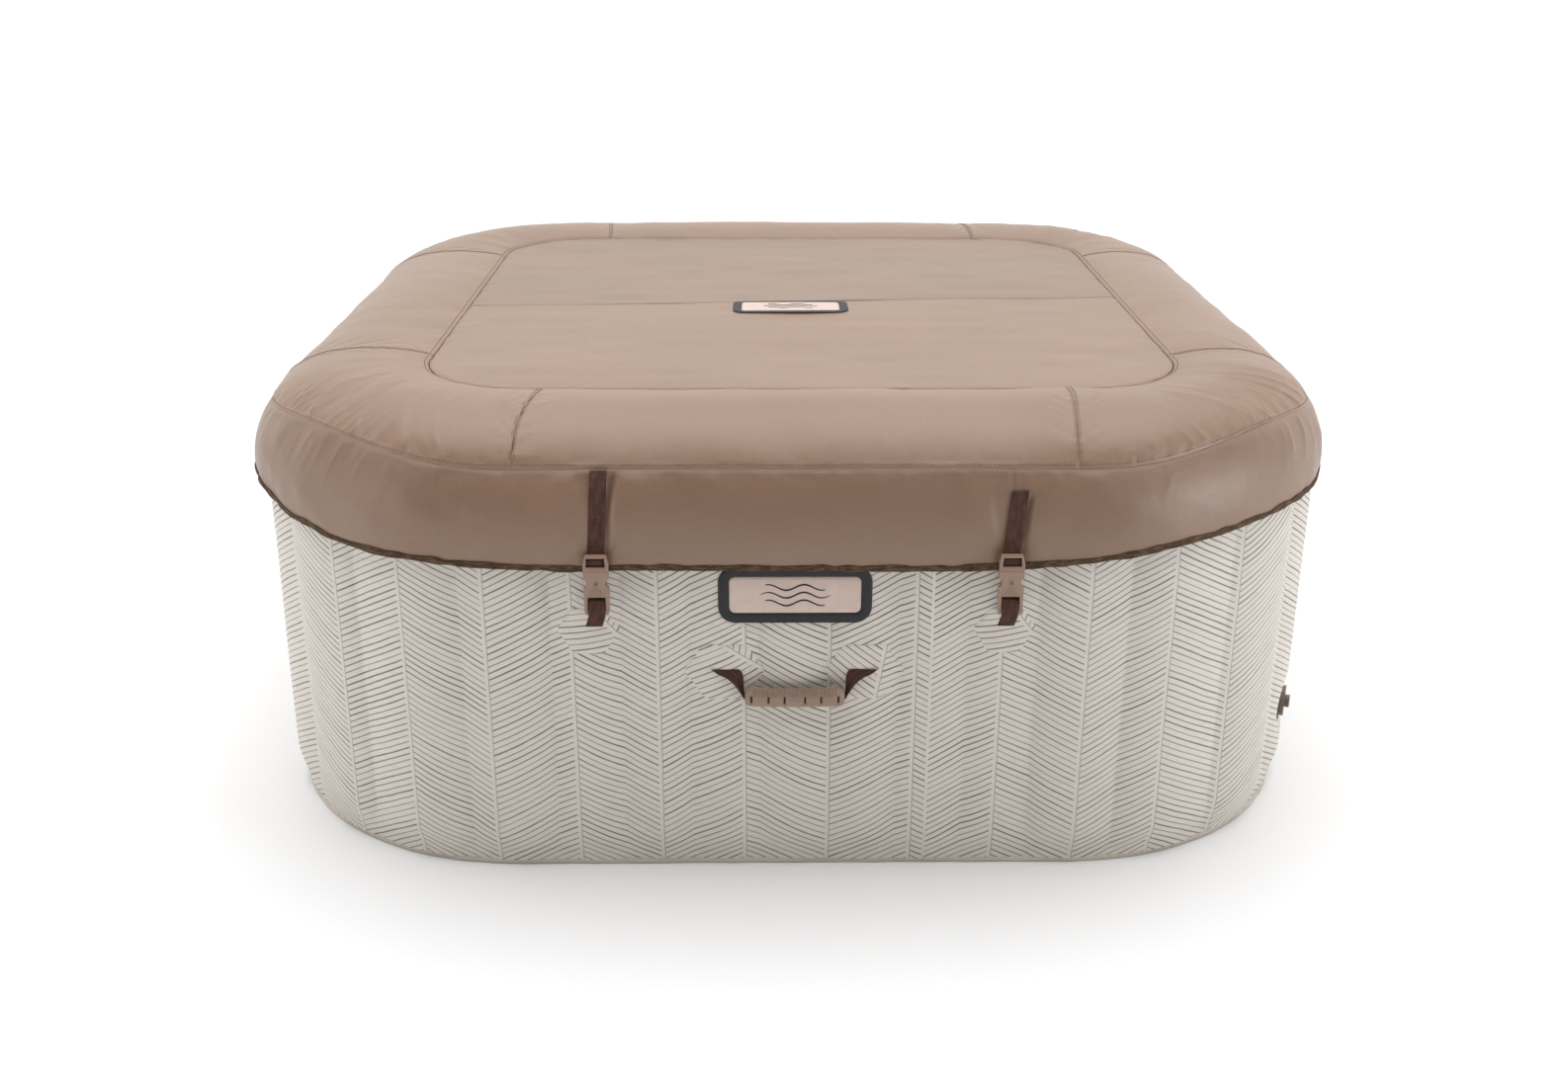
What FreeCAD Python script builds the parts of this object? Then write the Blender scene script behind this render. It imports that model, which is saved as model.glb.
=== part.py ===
"""Square inflatable hot tub with its clip-on insulating cover.

Millimetres, +Z up. The origin is the centre of the footprint, on the ground.
-Y is the front, with a carrying handle and a badge; +X is the plumbing side.
Every outline is a square with round corners, and all corners of one plan
quarter share one corner centre, so a ring is one profile taken along four
straight sides and round four corners.
"""
import FreeCAD
import Part
import math
import os
from FreeCAD import Vector

os.makedirs("parts", exist_ok=True)

# ---------------------------------------------------------------- driving sizes
TUB_HALF = 875.0          # half of the outside width
WALL = 200.0              # thickness of the inflated wall
TUB_HEIGHT = 707.0        # top of the rim
CORNER = 440.0            # corner centres lie at (+-CORNER, +-CORNER)
SKIN = 1.6                # laminated sheet
WELT_HEIGHT = 14.0        # plain weld strip round the foot

HEM_HALF, HEM_Z = 897.0, 520.0        # lower edge of the cover's skirt
SEAM_HALF, SEAM_Z = 870.0, 667.0      # seam between the skirt and the top
PANEL_HALF, PANEL_Z = 622.0, 720.0    # edge of the cover's centre panel

BUCKLE_U = (-317.5, 293.0)  # buckles sit this far from a wall's middle
STRAP_WIDTH = 25.0
STRAP_T = 1.6

# ---------------------------------------------------------------- derived sizes
INNER_HALF = TUB_HALF - WALL
RIM_R = WALL / 2
RIM_Z = TUB_HEIGHT - RIM_R
RIM_MID = TUB_HALF - RIM_R

# A side is built facing +Y and turned to face its own way.
SIDE_TURN = {"front": 180.0, "right": -90.0, "back": 0.0, "left": 90.0}
Z_AXIS = Vector(0, 0, 1)
ORIGIN = Vector(0, 0, 0)


# ---------------------------------------------------------------- helpers
def write(node, *solids):
    """Writes one node's solids to its STEP file."""
    shape = solids[0] if len(solids) == 1 else Part.makeCompound(list(solids))
    shape.exportStep("parts/%s.step" % node)


def box(x0, x1, y0, y1, z0, z1):
    return Part.makeBox(x1 - x0, y1 - y0, z1 - z0, Vector(x0, y0, z0))


def tube_x(radius, x0, x1, y, z):
    return Part.makeCylinder(radius, x1 - x0, Vector(x0, y, z), Vector(1, 0, 0))


def tube_y(radius, y0, y1, x, z):
    return Part.makeCylinder(radius, y1 - y0, Vector(x, y0, z), Vector(0, 1, 0))


def turned(shape, degrees, centre=ORIGIN, axis=Z_AXIS):
    copy = shape.copy()
    copy.rotate(centre, axis, degrees)
    return copy


def moved(shape, x=0.0, y=0.0, z=0.0):
    copy = shape.copy()
    copy.translate(Vector(x, y, z))
    return copy


def fuse(shapes):
    whole = shapes[0].multiFuse(shapes[1:]).removeSplitter()
    return whole.Solids[0] if len(whole.Solids) == 1 else whole


def section(points):
    """A closed polygon of (half width, z) points, in the plane y = 0."""
    corners = [Vector(h, 0, z) for h, z in points]
    return Part.Face(Part.makePolygon(corners + corners[:1]))


def straight_side(face):
    """The part of a ring along its +X side."""
    return moved(face, y=-CORNER).extrude(Vector(0, 2 * CORNER, 0))


def round_corner(face):
    """The part of a ring round its +X +Y corner."""
    return moved(face, y=CORNER).revolve(Vector(CORNER, CORNER, 0), Z_AXIS, 90)


def four_sides(shape):
    return [turned(shape, 90 * k) for k in range(4)]


def ring(face):
    return fuse(four_sides(straight_side(face)) + four_sides(round_corner(face)))


def welded_ring(face, holes=()):
    """A ring made of eight welded panels: four straight ones and four corners."""
    panels = four_sides(straight_side(face)) + four_sides(round_corner(face))
    if not holes:
        return panels
    cutter = Part.makeCompound(list(holes))
    return [panel.cut(cutter).Solids[0] for panel in panels]


def plate(half, z0, z1):
    """A flat sheet with the plan outline of that half width."""
    return rounded_block(2 * half, 2 * half, half - CORNER, z0, z1)


def rounded_block(size_x, size_y, radius, z0, z1):
    block = box(-size_x / 2, size_x / 2, -size_y / 2, size_y / 2, z0, z1)
    upright = [e for e in block.Edges if abs(e.tangentAt(e.FirstParameter).z) > 0.99]
    return block.makeFillet(radius, upright)


def ribbon(path, width, thickness):
    """A strap lying along (y, z) points, centred on x = 0."""
    left, right = [], []
    for i, (y, z) in enumerate(path):
        before = path[max(i - 1, 0)]
        after = path[min(i + 1, len(path) - 1)]
        turns = []
        for (ya, za), (yb, zb) in ((before, (y, z)), ((y, z), after)):
            length = math.hypot(yb - ya, zb - za)
            if length > 0:
                turns.append((-(zb - za) / length, (yb - ya) / length))
        ny = sum(t[0] for t in turns) / len(turns)
        nz = sum(t[1] for t in turns) / len(turns)
        reach = thickness / 2 / (ny * ny + nz * nz)
        left.append(Vector(-width / 2, y + ny * reach, z + nz * reach))
        right.append(Vector(-width / 2, y - ny * reach, z - nz * reach))
    outline = left + right[::-1]
    face = Part.Face(Part.makePolygon(outline + outline[:1]))
    return face.extrude(Vector(width, 0, 0))


def on_sides(shape, sides, offsets):
    """Copies of a piece that faces +Y, on each named side at each offset along it."""
    return [turned(moved(shape, x=u), SIDE_TURN[s]) for s in sides for u in offsets]


def on_curve(shape, centre, degrees):
    """Turns a piece that points along +X from the origin to a place round a corner."""
    return moved(turned(shape, degrees), centre.x, centre.y, centre.z)


# ---------------------------------------------------------------- plumbing places
PORT_Y, PORT_Z = 106.0, 250.0         # the two water ports
AIR_PORT_Z = 430.0
WATER_BORE, WATER_TUBE, WATER_THREAD = 22.0, 26.0, 30.0
AIR_BORE, AIR_TUBE, AIR_THREAD = 10.0, 14.0, 17.0
SPIGOT_END = TUB_HALF + 37.0
FLANGE_T = 6.0
HUB_END = INNER_HALF - 20.0           # inner end of a water port's hub
SEAL_DEPTH = 2.0

VALVE_Y, VALVE_Z = 205.0, 420.0       # inflation valve, on the plumbing side
DRAIN_ANGLE, DRAIN_Z = -20.0, 147.0   # drain valve, round the front right corner
DRAIN_CENTRE = Vector(CORNER, -CORNER, DRAIN_Z)
WALL_R = TUB_HALF - CORNER            # corner radius of the wall outside
INNER_R = INNER_HALF - CORNER
VALVE_FLANGE_R, VALVE_NECK_R, VALVE_BORE_R = 34.0, 20.0, 12.0
VALVE_FLANGE_T, VALVE_NECK = 4.0, 5.0
CAP_T, CAP_GAP, FIT_GAP = 2.0, 0.3, 0.08
CAP_HUB_R = 11.0
DRAIN_TUBE_R = 16.0


# ---------------------------------------------------------------- tub shell
def wall_holes():
    """What passes through the outer wall."""
    holes = [tube_x(WATER_TUBE, 600, 950, y, PORT_Z) for y in (-PORT_Y, PORT_Y)]
    holes.append(tube_x(AIR_TUBE, 800, 950, 0, AIR_PORT_Z))
    holes.append(tube_x(VALVE_NECK_R, 800, 950, VALVE_Y, VALVE_Z))
    drain = tube_x(DRAIN_TUBE_R, INNER_R - 60, WALL_R + 60, 0, 0)
    holes.append(on_curve(drain, DRAIN_CENTRE, DRAIN_ANGLE))
    return holes


def outer_wall():
    sheet = section([(TUB_HALF - SKIN, WELT_HEIGHT), (TUB_HALF, WELT_HEIGHT),
                     (TUB_HALF, RIM_Z), (TUB_HALF - SKIN, RIM_Z)])
    return welded_ring(sheet, wall_holes())


def inner_wall():
    sheet = section([(INNER_HALF, SKIN), (INNER_HALF + SKIN, SKIN),
                     (INNER_HALF + SKIN, RIM_Z), (INNER_HALF, RIM_Z)])
    feed = tube_x(FEED_R, 640, 720, 0, FEED_Z)
    return welded_ring(sheet, wall_holes() + [feed])


def half_tube(radius, middle, z):
    """The upper half of a tube's section, as a face."""
    arch = Part.Arc(Vector(middle + radius, 0, z), Vector(middle, 0, z + radius),
                    Vector(middle - radius, 0, z)).toShape()
    foot = Part.makeLine(Vector(middle - radius, 0, z), Vector(middle + radius, 0, z))
    return Part.Face(Part.Wire([arch, foot]))


def top_rim():
    face = half_tube(RIM_R, RIM_MID, RIM_Z).cut(half_tube(RIM_R - SKIN, RIM_MID, RIM_Z))
    return welded_ring(face.Faces[0])


WELT_IN = TUB_HALF - 9.0


def base_welt():
    return welded_ring(section([(WELT_IN, 0), (TUB_HALF + 1, 0),
                                (TUB_HALF + 1, WELT_HEIGHT), (WELT_IN, WELT_HEIGHT)]))


def floor_sheet():
    return plate(WELT_IN, 0, SKIN)


WEB_T = 1.5
WEB_PITCH = 105.7
WEB_PLACES = [WEB_PITCH * (k - 3.5) for k in range(8)]
WEB_ANGLES = (9.0, 33.0, 57.0, 81.0)


def tension_webs():
    """Upright fabric ties that hold the two wall sheets a fixed distance apart."""
    depth = (INNER_HALF + SKIN + 0.3, TUB_HALF - SKIN - 0.3)
    height = (30.0, RIM_Z)
    webs = []
    for place in WEB_PLACES:
        tie = box(*depth, place - WEB_T / 2, place + WEB_T / 2, *height)
        webs += four_sides(tie)
    tie = box(depth[0] - CORNER, depth[1] - CORNER, -WEB_T / 2, WEB_T / 2, *height)
    for angle in WEB_ANGLES:
        webs += four_sides(on_curve(tie, Vector(CORNER, CORNER, 0), angle))
    return webs


CHANNEL_R = 60.0
FEED_Z, FEED_R = 30.0, 12.0


def quarter_round(radius, corner_h, corner_z):
    """A quarter disc that fills the foot of the inner wall."""
    bend = radius * math.sqrt(0.5)
    heel = Vector(corner_h, 0, corner_z)
    toe = Vector(corner_h - radius, 0, corner_z)
    top = Vector(corner_h, 0, corner_z + radius)
    middle = Vector(corner_h - bend, 0, corner_z + bend)
    edges = [Part.makeLine(heel, toe), Part.Arc(toe, middle, top).toShape(),
             Part.makeLine(top, heel)]
    return Part.Face(Part.Wire(edges))


def air_jet_channel():
    """The bubble channel round the foot of the inner wall."""
    outside = quarter_round(CHANNEL_R, INNER_HALF, SKIN)
    hollow = quarter_round(CHANNEL_R - 8.0, INNER_HALF - 2.5, SKIN + 2.5)
    return welded_ring(outside.cut(hollow).Faces[0])


# ---------------------------------------------------------------- plumbing
def water_port(y):
    body = fuse([
        tube_x(WATER_TUBE, INNER_HALF - FLANGE_T, TUB_HALF + FLANGE_T, y, PORT_Z),
        tube_x(48.0, TUB_HALF, TUB_HALF + FLANGE_T, y, PORT_Z),
        tube_x(44.0, INNER_HALF - FLANGE_T, INNER_HALF, y, PORT_Z),
        tube_x(WATER_THREAD, HUB_END, INNER_HALF - FLANGE_T, y, PORT_Z),
        tube_x(WATER_THREAD, TUB_HALF + FLANGE_T, SPIGOT_END, y, PORT_Z)])
    groove = seal_ring(24.0, 28.0, SPIGOT_END - SEAL_DEPTH, SPIGOT_END + 1, y, PORT_Z)
    ribs = [port_rib(y, 360.0 / 8 * k) for k in range(8)]
    bore = tube_x(WATER_BORE, HUB_END - 5, SPIGOT_END + 5, y, PORT_Z)
    return fuse([body] + ribs).cut(Part.makeCompound([bore, groove])).Solids[0]


def port_rib(y, degrees):
    """A stiffening rib between a port's flange and its spigot."""
    rib = box(TUB_HALF + FLANGE_T - 1, TUB_HALF + FLANGE_T + 9, 24.0, 44.0, -1.5, 1.5)
    return moved(turned(rib, degrees, axis=Vector(1, 0, 0)), y=y, z=PORT_Z)


def seal_ring(r_in, r_out, x0, x1, y, z):
    return tube_x(r_out, x0, x1, y, z).cut(tube_x(r_in, x0 - 1, x1 + 1, y, z))


def air_port():
    inner_end = TUB_HALF - 30.0
    body = fuse([
        tube_x(AIR_TUBE, inner_end, TUB_HALF + FLANGE_T, 0, AIR_PORT_Z),
        tube_x(30.0, TUB_HALF, TUB_HALF + FLANGE_T, 0, AIR_PORT_Z),
        tube_x(AIR_THREAD, TUB_HALF + FLANGE_T, SPIGOT_END, 0, AIR_PORT_Z)])
    groove = seal_ring(12.0, 15.0, SPIGOT_END - SEAL_DEPTH, SPIGOT_END + 1, 0, AIR_PORT_Z)
    bore = tube_x(AIR_BORE, inner_end - 5, SPIGOT_END + 5, 0, AIR_PORT_Z)
    return body.cut(Part.makeCompound([bore, groove])).Solids[0]


def port_seals():
    x0, x1 = SPIGOT_END - SEAL_DEPTH, SPIGOT_END + 1.2
    seals = [seal_ring(24.2, 27.8, x0, x1, y, PORT_Z) for y in (-PORT_Y, PORT_Y)]
    return seals + [seal_ring(12.2, 14.8, x0, x1, 0, AIR_PORT_Z)]


def air_feed_hose():
    """The hose inside the wall from the air port down to the bubble channel."""
    bend = 45.0
    start_x, drop_x = TUB_HALF - 30.0, RIM_MID
    end_x = INNER_HALF
    s = bend * (1 - math.sqrt(0.5))
    edges = [
        Part.makeLine(Vector(start_x, 0, AIR_PORT_Z), Vector(drop_x + bend, 0, AIR_PORT_Z)),
        Part.Arc(Vector(drop_x + bend, 0, AIR_PORT_Z), Vector(drop_x + s, 0, AIR_PORT_Z - s),
                 Vector(drop_x, 0, AIR_PORT_Z - bend)).toShape(),
        Part.makeLine(Vector(drop_x, 0, AIR_PORT_Z - bend), Vector(drop_x, 0, FEED_Z + bend)),
        Part.Arc(Vector(drop_x, 0, FEED_Z + bend), Vector(drop_x - s, 0, FEED_Z + s),
                 Vector(drop_x - bend, 0, FEED_Z)).toShape(),
        Part.makeLine(Vector(drop_x - bend, 0, FEED_Z), Vector(end_x, 0, FEED_Z))]
    path = Part.Wire(edges)

    def swept(radius):
        circle = Part.makeCircle(radius, Vector(start_x, 0, AIR_PORT_Z), Vector(1, 0, 0))
        return path.makePipeShell([Part.Wire([circle])], True, False)

    return swept(FEED_R).cut(swept(FEED_R - 2.5)).Solids[0]


STRAINER_R = 42.0


def strainer(y):
    """A slotted cup that turns on a water port's inner hub."""
    back = INNER_HALF - FLANGE_T - 0.3
    front = HUB_END - 14.0
    cup = tube_x(STRAINER_R, front, back, y, PORT_Z)
    rim = [e for e in cup.Edges if e.BoundBox.XMax < front + 0.1]
    cup = cup.makeFillet(5.0, rim[:1])
    hollow = tube_x(WATER_THREAD + 0.1, front + 4, back + 1, y, PORT_Z)
    slots = []
    for k in range(-4, 5):
        reach = math.sqrt(28.0 ** 2 - (6.0 * k) ** 2)
        slots.append(box(front - 1, front + 5, y + 6 * k - 1.5, y + 6 * k + 1.5,
                         PORT_Z - reach, PORT_Z + reach))
    return cup.cut(Part.makeCompound([hollow] + slots)).Solids[0]


def valve_body(tube_end, tube_r):
    """Flange and neck of a valve that points along +X from a wall face at x = 0."""
    body = fuse([
        tube_x(tube_r, tube_end, 0.5, 0, 0),
        tube_x(VALVE_FLANGE_R, 0, VALVE_FLANGE_T, 0, 0),
        tube_x(VALVE_NECK_R, 0, VALVE_FLANGE_T + VALVE_NECK, 0, 0)])
    bore = tube_x(VALVE_BORE_R, tube_end - 5, 40, 0, 0)
    return body.cut(bore).Solids[0]


def valve_cap():
    """A cap over the neck, with a hub to pull it by."""
    x0 = VALVE_FLANGE_T + CAP_GAP
    x1 = VALVE_FLANGE_T + VALVE_NECK + CAP_GAP + CAP_T
    cup = tube_x(VALVE_NECK_R + 5.0, x0, x1, 0, 0)
    grip = [turned(box(x0, x1, VALVE_NECK_R + 4, VALVE_NECK_R + 6.2, -2, 2), 30 * k,
                   axis=Vector(1, 0, 0)) for k in range(12)]
    hub = tube_x(CAP_HUB_R, x1 - 1, x1 + 8.0, 0, 0)
    hollow = tube_x(VALVE_NECK_R + FIT_GAP, x0 - 1, x1 - CAP_T, 0, 0)
    return fuse([cup, hub] + grip).cut(hollow).Solids[0]


DRAIN_SEAT = -WALL - 5.0              # inner face of the drain, clear of the curved liner


def drain_place(shape):
    """Carries a valve from the origin to the drain's place on the corner."""
    return on_curve(moved(shape, x=WALL_R), DRAIN_CENTRE, DRAIN_ANGLE)


def air_valve_place(shape):
    return moved(shape, TUB_HALF, VALVE_Y, VALVE_Z)


def drain_body():
    body = valve_body(DRAIN_SEAT, DRAIN_TUBE_R)
    seat = tube_x(26.0, DRAIN_SEAT, DRAIN_SEAT + 3.0, 0, 0)
    bore = tube_x(VALVE_BORE_R, DRAIN_SEAT - 5, DRAIN_SEAT + 5, 0, 0)
    return drain_place(fuse([body, seat.cut(bore)]))


def drain_plug():
    """The push-in plug at the inner end of the drain."""
    head_x = DRAIN_SEAT - CAP_GAP
    stem = tube_x(VALVE_BORE_R - FIT_GAP, head_x, head_x + 15.0, 0, 0)
    head = tube_x(20.0, head_x - 4.7, head_x, 0, 0)
    pull = box(head_x - 14.0, head_x - 4.0, -8, 8, -2, 2)
    return drain_place(fuse([stem, head, pull]))


# ---------------------------------------------------------------- carrying handles
HANDLE_SIDES = ("front", "back", "left")
GRIP_HALF, GRIP_R = 77.0, 17.0
GRIP_OUT, GRIP_Z = 21.0, 300.0        # axis, out from the wall and up
ANCHOR_U, ANCHOR_Z = 107.0, 348.0     # where the webbing leaves the wall
ANCHOR_OUT = 4.5
PATCH_T = 2.0


def grip():
    y = TUB_HALF + GRIP_OUT
    body = tube_x(GRIP_R, -GRIP_HALF, GRIP_HALF, y, GRIP_Z)
    body = body.makeFillet(5.0, [e for e in body.Edges if e.Curve.TypeId == "Part::GeomCircle"])
    slot = box(-GRIP_HALF - 1, GRIP_HALF + 1, y - 5.1, y + 5.1, GRIP_Z - 4.1, GRIP_Z + 4.1)
    grooves = []
    for u in (-66.0, -39.0, -14.0, 14.0, 39.0, 66.0):
        groove = box(u - 1.2, u + 1.2, y + GRIP_R - 1.5, y + GRIP_R + 2, GRIP_Z - 9, GRIP_Z + 5)
        grooves.append(groove)
    return body.cut(Part.makeCompound([slot] + grooves)).Solids[0]


def handle_webbing():
    """One strap: a flat wing at each wall anchor, folded narrow through the grip."""
    y = TUB_HALF + GRIP_OUT
    core = box(-GRIP_HALF - 1, GRIP_HALF + 1, y - 5, y + 5, GRIP_Z - 4, GRIP_Z + 4)
    wings = []
    for s in (-1, 1):
        y0, y1 = TUB_HALF + ANCHOR_OUT - 1.5, TUB_HALF + ANCHOR_OUT + 1.5
        top = [Vector(s * (ANCHOR_U - 20), y0, ANCHOR_Z), Vector(s * (ANCHOR_U + 20), y0, ANCHOR_Z),
               Vector(s * (ANCHOR_U + 20), y1, ANCHOR_Z), Vector(s * (ANCHOR_U - 20), y1, ANCHOR_Z)]
        u = s * (GRIP_HALF + 0.5)
        foot = [Vector(u, y - 5, GRIP_Z + 4), Vector(u, y - 5, GRIP_Z - 4),
                Vector(u, y + 5, GRIP_Z - 4), Vector(u, y + 5, GRIP_Z + 4)]
        loops = [Part.makePolygon(p + p[:1]) for p in (top, foot)]
        wings.append(Part.makeLoft(loops, True, True))
    return fuse([core] + wings)


def wall_patch(width, height, z):
    """A flat-topped hexagonal reinforcement welded to the wall."""
    w, h, c = width / 2, height / 2, width * 0.2
    outline = [(-w, 0), (-w + c, -h), (w - c, -h), (w, 0), (w - c, h), (-w + c, h)]
    corners = [Vector(u, TUB_HALF, z + v) for u, v in outline]
    return Part.Face(Part.makePolygon(corners + corners[:1])).extrude(Vector(0, PATCH_T, 0))


# ---------------------------------------------------------------- straps and buckles
SIDES = ("front", "right", "back", "left")
BUCKLE_BACK, BUCKLE_FRONT = 906.0, 917.0
BUCKLE_HALF = 18.5
SOCKET_Z0, SOCKET_Z1 = 456.0, 523.6
PLUG_Z0, PLUG_Z1 = 524.0, 548.0
CAVITY_HALF = 15.0
PRONG_U, PRONG_Z = 10.5, 527.4        # the pin each release arm turns on
PRONG_EYE, PRONG_PIN = 2.2, 1.0
TONGUE_HALF = 4.0


def slab(outline, y0, y1):
    """A plate cut from (x, z) points, between two distances from the centre."""
    corners = [Vector(x, y0, z) for x, z in outline]
    return Part.Face(Part.makePolygon(corners + corners[:1])).extrude(Vector(0, y1 - y0, 0))


def window(half_low, half_high, z0, z1):
    return slab([(-half_low, z0), (half_low, z0), (half_high, z1), (-half_high, z1)],
                BUCKLE_BACK - 1, BUCKLE_FRONT + 1)


def buckle_socket():
    body = slab([(-BUCKLE_HALF + 2, SOCKET_Z0), (BUCKLE_HALF - 2, SOCKET_Z0),
                 (BUCKLE_HALF, SOCKET_Z0 + 6), (BUCKLE_HALF, SOCKET_Z1 - 4),
                 (BUCKLE_HALF - 1, SOCKET_Z1), (-BUCKLE_HALF + 1, SOCKET_Z1),
                 (-BUCKLE_HALF, SOCKET_Z1 - 4), (-BUCKLE_HALF, SOCKET_Z0 + 6)],
                BUCKLE_BACK, BUCKLE_FRONT)
    cavity = box(-CAVITY_HALF, CAVITY_HALF, BUCKLE_BACK + 2, BUCKLE_FRONT - 2, 490, SOCKET_Z1 + 1)
    waist = [tube_y(9.0, BUCKLE_BACK - 1, BUCKLE_FRONT + 1, s * 22.5, 506) for s in (-1, 1)]
    ladder = window(13.5, 13.5, 461.5, 484)
    key_slots = [box(s * 1.8 - 0.6, s * 1.8 + 0.6, BUCKLE_FRONT - 2.5, BUCKLE_FRONT + 1, 503, 509)
                 for s in (-1, 1)]
    body = body.cut(Part.makeCompound([cavity, ladder] + waist + key_slots))
    bar = box(-14, 14, BUCKLE_BACK + 2, BUCKLE_BACK + 6, 471, 475)
    return fuse([body.Solids[0], bar])


def buckle_plug():
    body = slab([(-BUCKLE_HALF, PLUG_Z0), (BUCKLE_HALF, PLUG_Z0), (BUCKLE_HALF, PLUG_Z1 - 12),
                 (BUCKLE_HALF - 3, PLUG_Z1), (-BUCKLE_HALF + 3, PLUG_Z1),
                 (-BUCKLE_HALF, PLUG_Z1 - 12)], BUCKLE_BACK, BUCKLE_FRONT)
    y0, y1 = BUCKLE_BACK + 2.2, BUCKLE_FRONT - 2.2
    pockets = [box(s * PRONG_U - 3.2, s * PRONG_U + 3.2, y0, y1, PLUG_Z0 - 1, PRONG_Z + 2.5)
               for s in (-1, 1)]
    body = body.cut(Part.makeCompound([window(14, 13.2, 531.5, 545.5)] + pockets)).Solids[0]
    pins = [tube_y(PRONG_PIN, y0 - 0.5, y1 + 0.5, s * PRONG_U, PRONG_Z) for s in (-1, 1)]
    bar = box(-14.5, 14.5, BUCKLE_BACK + 2, BUCKLE_BACK + 6, 536.8, 540.0)
    tongue = box(-TONGUE_HALF, TONGUE_HALF, BUCKLE_BACK + 3, BUCKLE_FRONT - 3, 493, PLUG_Z0 + 1)
    return fuse([body, bar, tongue] + pins)


def prong(side):
    """One sprung release arm; side is -1 or 1 along x."""
    y0, y1 = BUCKLE_BACK + 2.5, BUCKLE_FRONT - 2.5
    eye = tube_y(PRONG_EYE, y0, y1, side * PRONG_U, PRONG_Z)
    arm = slab([(side * 8.9, PRONG_Z), (side * 8.9, 498), (side * 10.5, 493.5),
                (side * 13.0, 494.5), (side * 14.6, 499), (side * 14.6, 507),
                (side * 12.1, 510), (side * 12.1, PRONG_Z)], y0, y1)
    bore = tube_y(PRONG_PIN + 0.06, y0 - 1, y1 + 1, side * PRONG_U, PRONG_Z)
    return fuse([eye, arm]).cut(bore).Solids[0]


UPPER_STRAP = [(874.1, 652), (891.9, 556), (899.0, 551), (903.6, 546), (903.6, 533.6),
               (913.8, 533.6), (913.8, 543.0), (906.2, 543.0)]
LOWER_STRAP = [(878.2, 372), (878.2, 402), (903.8, 446), (903.8, 479.0), (913.8, 479.0),
               (913.8, 474), (918.8, 463), (918.8, 450), (915.5, 440), (913.5, 418)]


# ---------------------------------------------------------------- cover
OUTER_LINE = [(SEAM_HALF, SEAM_Z), (838, 694), (800, 709), (740, 719), (680, 722.5),
              (PANEL_HALF, PANEL_Z)]
INNER_LINE = [(SEAM_HALF - SKIN, SEAM_Z), (836.8, 692.6), (799.5, 707.5), (739.8, 717.4),
              (680, 720.9), (PANEL_HALF, PANEL_Z - SKIN)]
LINING_HALF, LINING_Z = 606.0, 634.0
BLADDER_HALF, BLADDER_FILM = 598.0, 1.0


def border_section():
    return section(OUTER_LINE + INNER_LINE[::-1])


def skirt():
    return ring(section([(HEM_HALF - SKIN, HEM_Z), (HEM_HALF, HEM_Z),
                         (SEAM_HALF, SEAM_Z), (SEAM_HALF - SKIN, SEAM_Z)]))


def hem_binding():
    """Folded tape over the skirt's lower edge, in two leaves and a fold."""
    lean = (HEM_HALF - SEAM_HALF) / (SEAM_Z - HEM_Z)
    top = HEM_Z + 9.0
    rise = lean * (top - HEM_Z)
    return ring(section([
        (HEM_HALF - SKIN - 1.5, HEM_Z - 2), (HEM_HALF + 2, HEM_Z - 2),
        (HEM_HALF + 2 - rise, top), (HEM_HALF - rise, top), (HEM_HALF, HEM_Z),
        (HEM_HALF - SKIN, HEM_Z), (HEM_HALF - SKIN - rise, top),
        (HEM_HALF - SKIN - 1.5 - rise, top)]))


def centre_panel(front):
    sheet = plate_small(PANEL_HALF, PANEL_Z - SKIN, PANEL_Z)
    y0, y1 = (-800, CENTRE_SEAM_Y) if front else (CENTRE_SEAM_Y, 800)
    return sheet.common(box(-800, 800, y0, y1, 600, 800)).Solids[0]


CENTRE_SEAM_Y = -12.0


def plate_small(half, z0, z1):
    """A plate whose corners share the common corner centre."""
    return rounded_block(2 * half, 2 * half, max(half - CORNER, 20.0), z0, z1)


def cover_lining():
    outside = LINING_HALF + SKIN
    tray_wall = ring(section([(LINING_HALF, LINING_Z), (outside, LINING_Z),
                              (outside, PANEL_Z - SKIN), (LINING_HALF, PANEL_Z - SKIN)]))
    return fuse([plate_small(outside, LINING_Z, LINING_Z + SKIN), tray_wall])


def cover_bladder():
    """The flat air cushion that insulates the cover."""
    def pillow(inset):
        block = plate_small(BLADDER_HALF - inset, LINING_Z + 4 + inset, PANEL_Z - SKIN - 3 - inset)
        level = [e for e in block.Edges if abs(e.tangentAt(e.FirstParameter).z) < 0.01]
        return block.makeFillet(28.0 - inset, level)

    return pillow(0).cut(pillow(BLADDER_FILM)).Solids[0]


BADGE_T = 1.5


def wall_badge():
    disc = rounded_block(231, 92, 26, 0, BADGE_T)
    disc.rotate(ORIGIN, Vector(1, 0, 0), 90)
    return moved(disc, y=-TUB_HALF, z=473)


def cover_badge():
    return moved(rounded_block(218, 104, 26, PANEL_Z, PANEL_Z + BADGE_T), x=5, y=-82)


ZIP_HALF = 440.0


def zipper_tape():
    tape = box(-ZIP_HALF, ZIP_HALF, -12, 12, LINING_Z - 1, LINING_Z)
    coil = box(-ZIP_HALF, ZIP_HALF, -2.5, 2.5, LINING_Z - 2.5, LINING_Z - 1)
    return fuse([tape, coil])


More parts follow.
